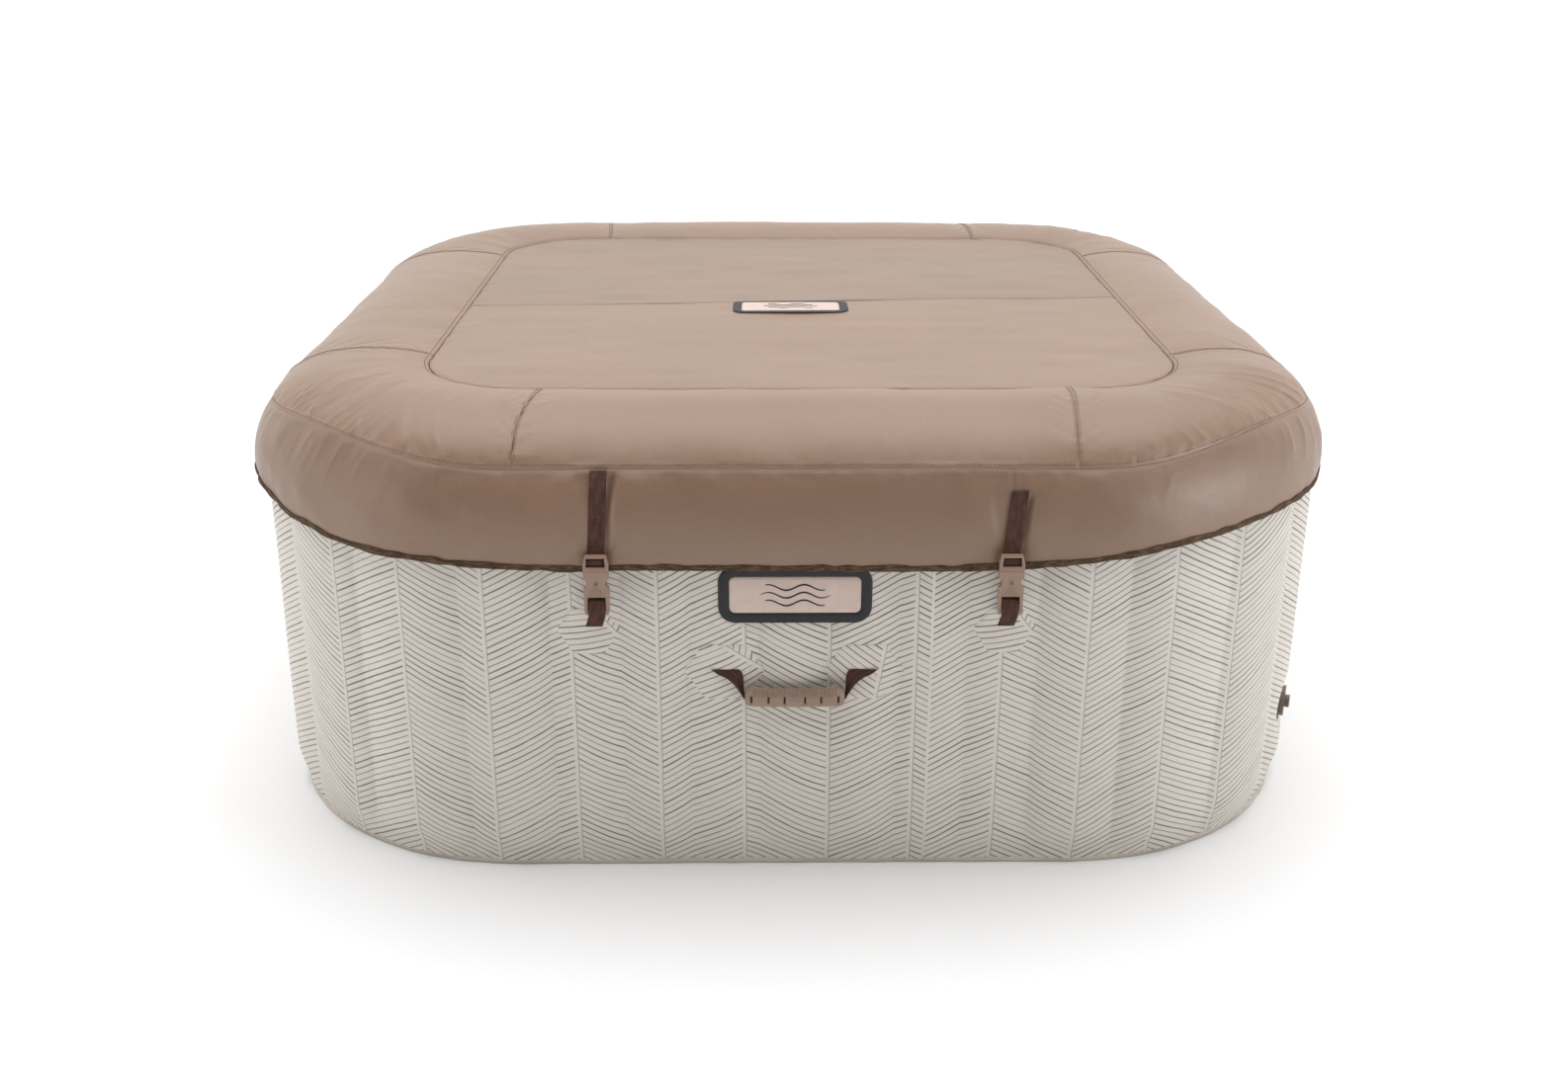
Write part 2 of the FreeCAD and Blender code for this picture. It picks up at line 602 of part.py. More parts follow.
def zipper_slider():
    """The slider at its closed end; it runs along +X."""
    x0 = -ZIP_HALF + 4
    z1 = LINING_Z - 2.8
    body = box(x0, x0 + 13, -5, 5, z1 - 3, z1)
    tab = box(x0 + 3, x0 + 27, -3, 3, z1 - 5.5, z1 - 4)
    post = box(x0 + 3, x0 + 7, -2, 2, z1 - 4.5, z1 - 2.5)
    return fuse([body, tab, post])


# ---------------------------------------------------------------- write every node
def write_shell():
    write("outer_wall", *outer_wall())
    write("inner_wall", *inner_wall())
    write("top_rim", *top_rim())
    write("base_welt", *base_welt())
    write("floor_sheet", floor_sheet())
    write("tension_webs", *tension_webs())
    write("air_jet_channel", *air_jet_channel())
    write("wall_badge", wall_badge())


def write_plumbing():
    write("suction_port", water_port(-PORT_Y))
    write("return_port", water_port(PORT_Y))
    write("air_port", air_port())
    write("port_seals", *port_seals())
    write("air_feed_hose", air_feed_hose())
    write("suction_strainer", strainer(-PORT_Y))
    write("return_strainer", strainer(PORT_Y))
    write("air_valve_body", air_valve_place(valve_body(-26.0, VALVE_NECK_R)))
    write("air_valve_cap", air_valve_place(valve_cap()))
    write("drain_valve_body", drain_body())
    write("drain_valve_cap", drain_place(valve_cap()))
    write("drain_plug", drain_plug())


def write_handles():
    for side in HANDLE_SIDES:
        write("handle_%s_grip" % side, turned(grip(), SIDE_TURN[side]))
        write("handle_%s_webbing" % side, turned(handle_webbing(), SIDE_TURN[side]))
    patch = wall_patch(100, 92, 362)
    write("handle_patches", *on_sides(patch, HANDLE_SIDES, (-ANCHOR_U, ANCHOR_U)))


def write_buckles():
    offsets = BUCKLE_U
    write("buckle_sockets", *on_sides(buckle_socket(), SIDES, offsets))
    write("buckle_plugs", *on_sides(buckle_plug(), SIDES, offsets))
    write("cover_straps", *on_sides(ribbon(UPPER_STRAP, STRAP_WIDTH, STRAP_T), SIDES, offsets))
    write("wall_straps", *on_sides(ribbon(LOWER_STRAP, STRAP_WIDTH, STRAP_T), SIDES, offsets))
    write("strap_patches", *on_sides(wall_patch(100, 92, 374), SIDES, offsets))
    for side in SIDES:
        for place, u in zip("ab", BUCKLE_U):
            for hand, s in (("left", -1), ("right", 1)):
                arm = turned(moved(prong(s), x=u), SIDE_TURN[side])
                write("prong_%s_%s_%s" % (side, place, hand), arm)


def write_cover():
    border = border_section()
    write("cover_centre_front", centre_panel(True))
    write("cover_centre_rear", centre_panel(False))
    write("cover_border_panels", *four_sides(straight_side(border)))
    write("cover_corner_panels", *four_sides(round_corner(border)))
    write("cover_skirt", skirt())
    write("hem_binding", hem_binding())
    write("cover_lining", cover_lining())
    write("cover_bladder", cover_bladder())
    write("cover_badge", cover_badge())
    write("zipper_tape", zipper_tape())
    write("zipper_slider", zipper_slider())


write_shell()
write_plumbing()
write_handles()
write_buckles()
write_cover()
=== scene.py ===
"""Looks for the inflatable hot tub: printed wall, padded fabric cover, straps and fittings.

Metres, +Z up, origin at the middle of the footprint, -Y is the front.
Every ring-shaped piece is a grid: one direction runs round the tub from the middle of
the front, the other runs up its section. s is always the distance round the outline.
"""
import bpy
import math
import numpy as np
from mathutils import Matrix, Vector


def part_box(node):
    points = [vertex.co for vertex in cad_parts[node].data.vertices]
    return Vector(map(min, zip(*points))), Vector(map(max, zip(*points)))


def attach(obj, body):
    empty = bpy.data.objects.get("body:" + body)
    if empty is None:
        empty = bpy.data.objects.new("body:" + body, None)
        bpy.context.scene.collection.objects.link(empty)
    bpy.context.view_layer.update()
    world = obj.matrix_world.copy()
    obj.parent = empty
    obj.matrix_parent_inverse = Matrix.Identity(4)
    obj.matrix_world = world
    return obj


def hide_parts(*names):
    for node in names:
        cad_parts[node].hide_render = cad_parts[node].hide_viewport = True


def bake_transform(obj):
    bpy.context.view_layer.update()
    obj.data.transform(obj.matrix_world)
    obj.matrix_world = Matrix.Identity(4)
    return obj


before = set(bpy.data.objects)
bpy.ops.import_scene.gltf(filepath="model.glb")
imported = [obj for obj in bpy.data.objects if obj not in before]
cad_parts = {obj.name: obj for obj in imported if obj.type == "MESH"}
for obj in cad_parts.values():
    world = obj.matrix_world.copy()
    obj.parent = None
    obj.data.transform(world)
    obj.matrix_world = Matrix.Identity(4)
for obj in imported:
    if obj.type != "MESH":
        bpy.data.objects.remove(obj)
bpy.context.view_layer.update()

# ------------------------------------------------------------------ driving sizes
WALL_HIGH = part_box("outer_wall")[1]
TUB_HALF = WALL_HIGH[0]
RIM_Z = WALL_HIGH[2]                       # where the wall turns into the rim
LINER_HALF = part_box("inner_wall")[1][0]    # inner wall, measured on its outer face
RIM_MID = (TUB_HALF + LINER_HALF) / 2
RIM_R = (TUB_HALF - LINER_HALF) / 2
WELT_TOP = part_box("base_welt")[1][2]
STRIP_TOP = 0.6 * WELT_TOP                 # the printed sheet hides the upper part of the foot strip
CORNER = 0.440                             # corner centres lie at (+-CORNER, +-CORNER)
SIDE = 2 * CORNER
ARC = math.pi / 2 * (TUB_HALF - CORNER)
QUARTER = SIDE + ARC
LAP = 4 * QUARTER

PANEL_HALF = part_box("cover_centre_front")[1][0]
PANEL_Z = 0.7225                           # seam between the centre panel and its border
PANEL_SHIFT = (0.018, -0.014)              # the centre panel is sewn on this far off centre
CROWN = 0.001                              # rise of the centre panel above that seam
SEAM_HALF, SEAM_Z = 0.870, 0.667           # shoulder seam, mid-side
HEM_HALF = 0.899                           # lower edge of the skirt
STRAP_B_TOP = 0.20                         # the second strap is sewn on this far down the skirt
DIVIDE = 0.415                             # border and corner panels meet this far along a side

SIDES = ("front", "right", "back", "left")
STRAP_WIDTH = 0.025
PRONG_HALF = 0.0031                        # half of a buckle prong's width
CLOTH_THICKNESS = 0.0012
SKIRT_LENGTH = 0.150
HANDLE_SIDES = ("front", "back", "left")
ANCHOR_U, ANCHOR_Z = 0.107, 0.350          # where a handle's webbing leaves the wall


def buckle_places():
    """Where the two buckles sit along the front, read from the frame."""
    prongs = ["prong_front_%s_%s" % (letter, hand) for letter in "ab" for hand in ("left", "right")]
    xs = sorted({round(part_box(prong)[0][0], 4) for prong in prongs})
    return (xs[0] + xs[1]) / 2 + PRONG_HALF, (xs[2] + xs[3]) / 2 + PRONG_HALF


def node_middle(node):
    low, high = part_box(node)
    return [(a + b) / 2 for a, b in zip(low, high)]


BUCKLE_A, BUCKLE_B = buckle_places()


# ------------------------------------------------------------------ number helpers
def smooth(x, low=0.0, high=1.0):
    """0 below low, 1 above high, and an eased step between."""
    t = np.clip((np.asarray(x, float) - low) / (high - low), 0, 1)
    return t * t * (3 - 2 * t)


def lattice_noise(u, v, seed, wrap=None):
    """Smooth noise from -1 to 1, one cell per unit; u repeats after wrap cells."""
    table = np.random.default_rng(seed).uniform(-1, 1, (512, 128))
    u, v = np.broadcast_arrays(np.asarray(u, float), np.asarray(v, float))
    iu, iv = np.floor(u).astype(int), np.floor(v).astype(int)
    fu, fv = u - iu, v - iv
    fu, fv = fu * fu * (3 - 2 * fu), fv * fv * (3 - 2 * fv)
    wrap = wrap or 512
    a, b = iu % wrap % 512, (iu + 1) % wrap % 512
    c, d = iv % 128, (iv + 1) % 128
    low = table[a, c] * (1 - fu) + table[b, c] * fu
    high = table[a, d] * (1 - fu) + table[b, d] * fu
    return low * (1 - fv) + high * fv


def lap_noise(s, v, cells, v_scale, seed):
    """Noise that closes on itself round the tub, with so many cells to a lap."""
    return lattice_noise(np.asarray(s) / LAP * cells, np.asarray(v) / v_scale, seed, cells)


# ------------------------------------------------------------------ outline
def outline(s):
    """Base point and outward direction at distance s round the tub."""
    t = np.mod(np.asarray(s, float) + SIDE / 2, LAP)
    quarter = np.floor(t / QUARTER)
    r = t - quarter * QUARTER
    angle = np.clip((r - SIDE) / ARC, 0, 1) * math.pi / 2
    x = np.minimum(r, SIDE) - SIDE / 2
    y = np.full_like(x, -CORNER)
    nx, ny = np.sin(angle), -np.cos(angle)
    turn = quarter * math.pi / 2
    c, n = np.cos(turn), np.sin(turn)
    return c * x - n * y, n * x + c * y, c * nx - n * ny, n * nx + c * ny


def ring_point(s, half, z):
    """Points at distance s round the tub, on the outline of that half width, at height z."""
    s, half, z = np.broadcast_arrays(np.asarray(s, float), half, z)
    x, y, nx, ny = outline(s)
    reach = half - CORNER
    return np.stack([x + nx * reach, y + ny * reach, z], axis=-1)


def cornering(s):
    """0 along a straight side and 1 in the middle of a corner."""
    t = np.mod(np.asarray(s, float) + SIDE / 2, QUARTER)
    return np.sin(np.clip((t - SIDE) / ARC, 0, 1) * math.pi) ** 2


def arc_place(degrees):
    """Distance from a side's middle to that many degrees round the corner at its end."""
    return SIDE / 2 + ARC * degrees / 90


def side_offset(s):
    """Distance along a side from its middle; runs on past the corner's start."""
    return np.mod(np.asarray(s, float) + QUARTER / 2, QUARTER) - QUARTER / 2


# ------------------------------------------------------------------ mesh helpers
def link(obj):
    bpy.context.scene.collection.objects.link(obj)
    return obj


def add_uv(mesh, uv):
    layer = mesh.uv_layers.new(name="cloth")
    layer.data.foreach_set("uv", np.asarray(uv, np.float32).ravel())


def mesh_piece(name, verts, faces, material, body, uv=None):
    """A named piece from points and equal-sided faces; a piece with no body is left without a parent."""
    mesh = bpy.data.meshes.new(name)
    mesh.from_pydata(np.asarray(verts, float).reshape(-1, 3).tolist(), [], np.asarray(faces).tolist())
    if uv is not None:
        add_uv(mesh, uv)
    mesh.polygons.foreach_set("use_smooth", [True] * len(mesh.polygons))
    mesh.materials.append(material)
    obj = link(bpy.data.objects.new(name, mesh))
    if body:
        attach(obj, body)
    return obj


def grid_faces(n, m, wrap):
    """Quads over an n by m grid of points; wrap joins the last row to the first."""
    i = np.arange(n if wrap else n - 1)[:, None]
    j = np.arange(m - 1)[None, :]
    k = (i + 1) % n
    corners = [i * m + j, k * m + j, k * m + j + 1, i * m + j + 1]
    return np.stack(np.broadcast_arrays(*corners), axis=-1).reshape(-1, 4)


def grid_piece(name, points, u, v, material, body, wrap=False, flip=False, lap=LAP):
    """A piece from an n by m grid of points; u and v are the cloth's own coordinates.

    wrap closes the grid on itself, and lap is how far u has grown on the way round.
    """
    n, m = points.shape[:2]
    faces = grid_faces(n, m, wrap)
    u, v = np.broadcast_to(u, (n, m)), np.broadcast_to(v, (n, m))
    if wrap:
        u = np.concatenate([u, u[:1] + lap])
        v = np.concatenate([v, v[:1]])
    i, j = np.meshgrid(np.arange(len(u) - 1), np.arange(m - 1), indexing="ij")
    cells = [(i, j), (i + 1, j), (i + 1, j + 1), (i, j + 1)]
    uv = np.stack([np.stack([u[a, b], v[a, b]], -1) for a, b in cells], axis=2).reshape(-1, 4, 2)
    if flip:
        faces, uv = faces[:, ::-1], uv[:, ::-1]
    return mesh_piece(name, points, faces, material, body, uv.reshape(-1, 2))


def thicken(obj, thickness, offset=-1.0):
    """Gives a skin its thickness; offset -1 grows it inwards and 0 both ways."""
    mod = obj.modifiers.new("thickness", "SOLIDIFY")
    mod.thickness = thickness
    mod.offset = offset
    mod.use_even_offset = True
    return obj


def turned_copies(points, sides=SIDES):
    """The same points, built on the front, turned to each named side."""
    for side in sides:
        a = SIDES.index(side) * math.pi / 2
        c, n = math.cos(a), math.sin(a)
        x, y, z = points[..., 0], points[..., 1], points[..., 2]
        yield side, np.stack([c * x - n * y, n * x + c * y, z], axis=-1)


# ------------------------------------------------------------------ material helpers
class Graph:
    """Short names for building a material's nodes."""

    def __init__(self, name):
        self.material = bpy.data.materials.new(name)
        self.material.use_nodes = True
        self.tree = self.material.node_tree
        self.shader = self.tree.nodes["Principled BSDF"]

    def add(self, kind, **settings):
        node = self.tree.nodes.new(kind)
        for key, value in settings.items():
            setattr(node, key, value)
        return node

    def link(self, a, b):
        self.tree.links.new(a, b)

    def feed(self, socket, value):
        if isinstance(value, bpy.types.NodeSocket):
            self.link(value, socket)
        else:
            socket.default_value = value

    def math(self, operation, a, b=0.0, c=0.0):
        node = self.add("ShaderNodeMath", operation=operation)
        for socket, value in zip(node.inputs, (a, b, c)):
            self.feed(socket, value)
        return node.outputs[0]

    def ramp(self, value, low, high, to_low=0.0, to_high=1.0):
        node = self.add("ShaderNodeMapRange", interpolation_type="SMOOTHSTEP")
        for key, v in zip(("Value", "From Min", "From Max", "To Min", "To Max"),
                          (value, low, high, to_low, to_high)):
            self.feed(node.inputs[key], v)
        return node.outputs["Result"]

    def mix(self, factor, a, b):
        node = self.add("ShaderNodeMix", data_type="RGBA")
        self.feed(node.inputs["Factor"], factor)
        for key, value in (("A", a), ("B", b)):
            socket = [i for i in node.inputs if i.name == key and i.type == "RGBA"][0]
            self.feed(socket, value if isinstance(value, bpy.types.NodeSocket) else (*value, 1))
        return [o for o in node.outputs if o.type == "RGBA"][0]

    def cloth(self):
        return self.add("ShaderNodeUVMap", uv_map="cloth").outputs["UV"]

    def place(self):
        return self.add("ShaderNodeTexCoord").outputs["Object"]

    def scaled(self, vector, scale, rotation=(0, 0, 0)):
        node = self.add("ShaderNodeMapping")
        self.link(vector, node.inputs["Vector"])
        node.inputs["Scale"].default_value = scale
        node.inputs["Rotation"].default_value = rotation
        return node.outputs["Vector"]

    def noise(self, vector, scale, detail=2.0, roughness=0.5):
        node = self.add("ShaderNodeTexNoise")
        self.link(vector, node.inputs["Vector"])
        node.inputs["Scale"].default_value = scale
        node.inputs["Detail"].default_value = detail
        node.inputs["Roughness"].default_value = roughness
        return node.outputs["Fac"]

    def split(self, vector):
        node = self.add("ShaderNodeSeparateXYZ")
        self.link(vector, node.inputs[0])
        return node.outputs

    def wave(self, value, period):
        """A sine from 0 to 1 along a coordinate in metres."""
        turned = self.math("MULTIPLY", value, 2 * math.pi / period)
        return self.math("MULTIPLY_ADD", self.math("SINE", turned), 0.5, 0.5)

    def bump(self, height, distance, strength=1.0, under=None):
        node = self.add("ShaderNodeBump")
        node.inputs["Strength"].default_value = strength
        node.inputs["Distance"].default_value = distance
        self.link(height, node.inputs["Height"])
        if under is not None:
            self.link(under, node.inputs["Normal"])
        return node.outputs["Normal"]

    def finish(self, color, roughness, normal=None, **sockets):
        self.feed(self.shader.inputs["Base Color"],
                  color if isinstance(color, bpy.types.NodeSocket) else (*color, 1))
        self.feed(self.shader.inputs["Roughness"], roughness)
        if normal is not None:
            self.link(normal, self.shader.inputs["Normal"])
        for key, value in sockets.items():
            self.shader.inputs[key.replace("_", " ")].default_value = value
        return self.material


def shade(color, factor):
    """A color made darker or lighter."""
    return tuple(c * factor for c in color)


LAP_JOINT = 0.207                          # where the printed sheet closes, round from the front's middle
PRINT_COLUMNS = 48                         # columns of slanting lines in one lap
PRINT_LIGHT = (0.76, 0.710, 0.640)
PRINT_WARM = (0.70, 0.64, 0.57)
PRINT_DARK = (0.115, 0.095, 0.075)


def printed_vinyl(name, tilt=None):
    """Woven-slat print: slanting lines in columns that lean alternately left and right.

    tilt turns the lines of a welded patch, which is cut from the same sheet at an angle.
    """
    g = Graph(name)
    pitch = LAP / PRINT_COLUMNS
    first_column = 0.0795                  # metres from the front's middle
    spacing, slope = 0.0108, 0.53          # of the lines, in metres and rise over run
    bar, bar_edge = 0.034, 0.010           # the plain bar between columns, as shares of a column
    cloth = g.cloth()
    if tilt is not None:
        cloth = g.scaled(cloth, (1, 1, 1), (0, 0, tilt))
    u, v, _ = g.split(cloth)
    wobble = g.noise(cloth, 9.0, 2.0)
    column = g.math("DIVIDE", g.math("ADD", u, first_column), pitch)
    across = g.math("FRACT", column)
    number = g.math("FLOOR", column)
    lean = g.math("MULTIPLY_ADD", g.math("PINGPONG", number, 1.0), -2.0, 1.0)
    other_sheet = g.math("MULTIPLY", g.math("GREATER_THAN", u, LAP_JOINT),
                         g.math("LESS_THAN", number, PRINT_COLUMNS / 2))
    lean = g.math("MULTIPLY", lean, g.math("MULTIPLY_ADD", other_sheet, -2.0, 1.0))
    drift = g.math("MULTIPLY", g.math("SUBTRACT", wobble, 0.5), 0.006)
    rise = g.math("MULTIPLY", g.math("MULTIPLY", across, lean), pitch * slope)
    height = g.math("ADD", g.math("ADD", v, rise), drift)
    line_number = g.math("DIVIDE", height, spacing)
    phase = g.math("ABSOLUTE", g.math("SUBTRACT", g.math("FRACT", line_number), 0.5))
    seed = g.add("ShaderNodeCombineXYZ")
    g.link(number, seed.inputs[0])
    g.link(g.math("FLOOR", line_number), seed.inputs[1])
    white = g.add("ShaderNodeTexWhiteNoise", noise_dimensions="2D")
    g.link(seed.outputs[0], white.inputs["Vector"])
    per_line = white.outputs["Value"]
    half_width = g.math("MULTIPLY_ADD", per_line, 0.04, 0.080)
    line = g.ramp(g.math("SUBTRACT", phase, half_width), -0.03, 0.05, 1.0, 0.0)
    ink = g.math("MULTIPLY_ADD", per_line, 0.30, 0.70)
    patchy = g.ramp(g.noise(g.scaled(cloth, (14, 60, 1)), 1.0, 3.0), 0.3, 0.7, 0.78, 1.0)
    ink = g.math("MULTIPLY", ink, patchy)
    in_column = g.math("MULTIPLY", g.ramp(across, bar, bar + bar_edge), g.ramp(across, 0.985, 1.0, 1.0, 0.0))
    edge = g.math("ABSOLUTE", g.math("SUBTRACT", across, bar + 0.004))
    edge_line = g.math("MULTIPLY", g.ramp(edge, 0.0, bar_edge, 1.0, 0.0), 0.60)
    mask = g.math("MAXIMUM", g.math("MULTIPLY", g.math("MULTIPLY", line, ink), in_column), edge_line)
    cloud = g.noise(g.scaled(cloth, (30, 160, 1)), 1.0, 4.0)
    ground = g.mix(g.ramp(cloud, 0.35, 0.7, 0.0, 0.6), PRINT_LIGHT, PRINT_WARM)
    color = g.mix(mask, ground, PRINT_DARK)
    grain = g.noise(cloth, 900.0, 2.0)
    fine = g.bump(grain, 0.0002, 0.35)
    return g.finish(color, g.ramp(grain, 0.3, 0.7, 0.42, 0.55), g.bump(mask, 0.0001, 0.4, fine))


def plain_vinyl(name, color, rough=0.45):
    """Satin vinyl with a fine grain and a faint cloudiness."""
    g = Graph(name)
    place = g.place()
    blotch = g.noise(place, 7.0, 3.0)
    grain = g.noise(place, 1100.0, 2.0)
    tone = g.mix(g.ramp(blotch, 0.35, 0.7), shade(color, 0.86), color)
    return g.finish(tone, g.ramp(grain, 0.3, 0.7, rough - 0.06, rough + 0.08), g.bump(grain, 0.0003, 0.35))


THREAD_PITCH = 0.0014


def cover_cloth(name, color, pink):
    """Coated woven polyester: crosshatched threads, slubs and a satin coat."""
    g = Graph(name)
    cloth = g.cloth()
    u, v, _ = g.split(cloth)
    weave = g.math("MULTIPLY", g.wave(u, THREAD_PITCH), g.wave(v, THREAD_PITCH))
    slub_u = g.noise(g.scaled(cloth, (900, 25, 1)), 1.0, 3.0, 0.6)
    slub_v = g.noise(g.scaled(cloth, (25, 900, 1)), 1.0, 3.0, 0.6)
    slubs = g.math("ADD", g.math("MULTIPLY", slub_u, 0.5), g.math("MULTIPLY", slub_v, 0.5))
    blotch = g.noise(g.place(), 4.5, 3.0, 0.55)
    tone = g.mix(g.ramp(blotch, 0.38, 0.66), color, pink)
    tone = g.mix(g.ramp(slubs, 0.42, 0.62, 0.35, 0.0), tone, shade(color, 0.80))
    crease = g.noise(g.scaled(g.place(), (1, 1, 1.6)), 34.0, 4.0, 0.6)
    deep = g.bump(crease, 0.0022, 0.30)
    threads = g.math("ADD", g.math("MULTIPLY", slubs, 1.6), g.math("MULTIPLY", weave, 0.7))
    fine = g.bump(threads, 0.0003, 0.55, deep)
    rough = g.ramp(slubs, 0.35, 0.65, 0.31, 0.44)
    return g.finish(tone, rough, fine, IOR=1.58)


def binding_cloth(name):
    """Folded hem tape: fine ribs and worn, flecked pile."""
    g = Graph(name)
    _, v, _ = g.split(g.cloth())
    ribs = g.wave(v, 0.0022)
    fleck = g.noise(g.scaled(g.cloth(), (60, 300, 1)), 1.0, 4.0, 0.65)
    tone = g.mix(g.ramp(fleck, 0.40, 0.68), (0.050, 0.027, 0.014), (0.165, 0.095, 0.052))
    height = g.math("ADD", g.math("MULTIPLY", ribs, 0.5), fleck)
    return g.finish(tone, 0.75, g.bump(height, 0.0008, 0.8), Specular_IOR_Level=0.25)


def webbing(name, color):
    """Ribbed strap: picks across the width, twisted ends along the edges, and painted shade darkening the
    grooves between the picks.
    """
    g = Graph(name)
    cloth = g.cloth()
    u, v, _ = g.split(cloth)
    picks = g.wave(v, 0.0019)
    ends = g.wave(u, 0.0011)
    wear = g.noise(g.scaled(cloth, (120, 40, 1)), 1.0, 3.0)
    tone = g.mix(g.ramp(wear, 0.35, 0.7), shade(color, 0.75), shade(color, 1.35))
    # painted shade: the grooves between the picks are darkened towards a third of the colour
    tone = g.mix(g.ramp(picks, 0.0, 0.5, 0.45, 0.0), tone, shade(color, 0.35))
    height = g.math("ADD", picks, g.math("MULTIPLY", ends, 0.35))
    return g.finish(tone, 0.7, g.bump(height, 0.0008, 1.0), Specular_IOR_Level=0.2)


def moulded(name, color, rough=0.42, mottle=0.12):
    """Injection-moulded plastic with a fine spark-eroded grain and rubbed edges."""
    g = Graph(name)
    place = g.place()
    grain = g.noise(place, 1600.0, 2.0)
    cloud = g.noise(place, 60.0, 3.0)
    worn = g.add("ShaderNodeNewGeometry").outputs["Pointiness"]
    tone = g.mix(g.ramp(cloud, 0.3, 0.7), shade(color, 1 - mottle), color)
    tone = g.mix(g.ramp(worn, 0.52, 0.62, 0.0, 0.5), tone, tuple(min(1, c * 1.5 + 0.03) for c in color))
    return g.finish(tone, g.ramp(grain, 0.3, 0.7, rough - 0.06, rough + 0.08), g.bump(grain, 0.0002, 0.35))


def film(name, color):
    """Thin crinkled vinyl film, darker in the low parts of its crinkles: painted shade."""
    g = Graph(name)
    crinkle = g.noise(g.place(), 26.0, 5.0, 0.6)
    # painted shade: the low parts of the crinkle relief are darkened
    tone = g.mix(g.ramp(crinkle, 0.35, 0.65), shade(color, 0.85), color)
    return g.finish(tone, 0.33, g.bump(crinkle, 0.004, 0.5))


MATERIALS = {
    "print": printed_vinyl("wall_print"),
    "patch_strap": printed_vinyl("patch_print_strap", tilt=-0.65),
    "patch_left": printed_vinyl("patch_print_left", tilt=-0.95),
    "patch_right": printed_vinyl("patch_print_right", tilt=0.17),
    "strip": plain_vinyl("welt_vinyl", (0.64, 0.57, 0.49)),
    "joint": plain_vinyl("joint_vinyl", (0.82, 0.78, 0.72)),
    "liner": plain_vinyl("liner_vinyl", (0.56, 0.52, 0.47)),
    "ground": plain_vinyl("floor_vinyl", (0.20, 0.19, 0.18), 0.5),
    "web": plain_vinyl("web_fabric", (0.7, 0.7, 0.68), 0.6),
    "cloth": cover_cloth("cover_cloth", (0.315, 0.195, 0.126), (0.338, 0.208, 0.138)),
    # the rear centre panel's cloth: the cover cloth made darker, painted shade for the rear's dimmer light
    "cloth_painted_shade_rear": cover_cloth("cover_fabric_shaded_rear", (0.288, 0.182, 0.119), (0.310, 0.195, 0.129)),
    # the skirt's cloth: the same cover cloth made darker, painted shade for the skirt's steep front faces
    "cloth_painted_shade_skirt": cover_cloth("cover_fabric_shaded_skirt", (0.274, 0.167, 0.108), (0.296, 0.180, 0.119)),
    "binding": binding_cloth("binding_cloth"),
    "webbing": webbing("strap_webbing", (0.122, 0.055, 0.040)),
    "thread": moulded("seam_thread", (0.20, 0.118, 0.080), 0.6),
    "buckle": moulded("buckle_acetal", (0.275, 0.172, 0.122), 0.38),
    "grip": moulded("grip_rubber", (0.34, 0.235, 0.175), 0.48),
    "badge_rim": moulded("badge_rim", (0.009, 0.009, 0.010), 0.55, 0.2),
    "badge_field": moulded("badge_field", (0.72, 0.56, 0.49), 0.42, 0.06),
    "port": moulded("port_plastic", (0.055, 0.050, 0.047), 0.42),
    "valve": moulded("valve_plastic", (0.055, 0.038, 0.028), 0.45),
    "cap": moulded("cap_plastic", (0.20, 0.145, 0.105), 0.4),
    "rubber": moulded("seal_rubber", (0.012, 0.012, 0.012), 0.55),
    "metal": moulded("slider_metal", (0.05, 0.035, 0.03), 0.3),
    "film": film("lining_film", (0.46, 0.46, 0.47)),
}


# ------------------------------------------------------------------ inflated wall
WEB_PITCH, WEBS_ALONG = 0.1057, 8          # spacing and number of the inner ties on a side
WEB_ANGLES = (9.0, 33.0, 57.0, 81.0)       # degrees round a corner
FULLEST, TIE_DEPTH = 0.0125, 0.0025        # a lobe's most height, and how far the ties pull in
FOOT_TOP, FOOT_TUCK = 0.075, 0.0065        # the skin rounds under below this height


def web_places():
    """Where the inner ties pull the wall in, as distances round one quarter."""
    along = [WEB_PITCH * (k - (WEBS_ALONG - 1) / 2) for k in range(WEBS_ALONG)]
    return along + [arc_place(a) for a in WEB_ANGLES]


def lobes(s):
    """(0..1 position between two ties, width between them) at each place round the tub."""
    places = np.array(web_places())
    places = np.concatenate([places, [places[0] + QUARTER]])
    t = np.mod(np.asarray(s, float) - places[0], QUARTER) + places[0]
    k = np.clip(np.searchsorted(places, t, side="right") - 1, 0, len(places) - 2)
    width = places[k + 1] - places[k]
    return (t - places[k]) / width, width


def bulge(s):
    """How far the skin stands out between its ties; each lobe is fuller on its outer side."""
    t, width = lobes(s)
    middle = side_offset(s)
    lean = 0.16 * np.clip(middle / 0.25, -1, 1)
    skewed = np.clip(t + lean * 4 * t * (1 - t) * 0.5, 0, 1)
    fullness = np.minimum(0.80 * width ** 2, FULLEST)
    return fullness * 4 * skewed * (1 - skewed) - TIE_DEPTH


def fitting_spot(node, margin=0.012):
    """(distance round the tub, height, reach) of a fitting welded into the outer skin."""
    low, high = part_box(node)
    middle = node_middle(node)
    lap = np.linspace(0, LAP, 4000)
    x, y, nx, ny = outline(lap)
    reach = TUB_HALF - CORNER
    far = np.hypot(x + nx * reach - middle[0], y + ny * reach - middle[1])
    return lap[int(far.argmin())], middle[2], (high[2] - low[2]) / 2 + margin


FITTINGS = [fitting_spot(node) for node in ("drain_valve_body", "suction_port", "return_port", "air_port")]


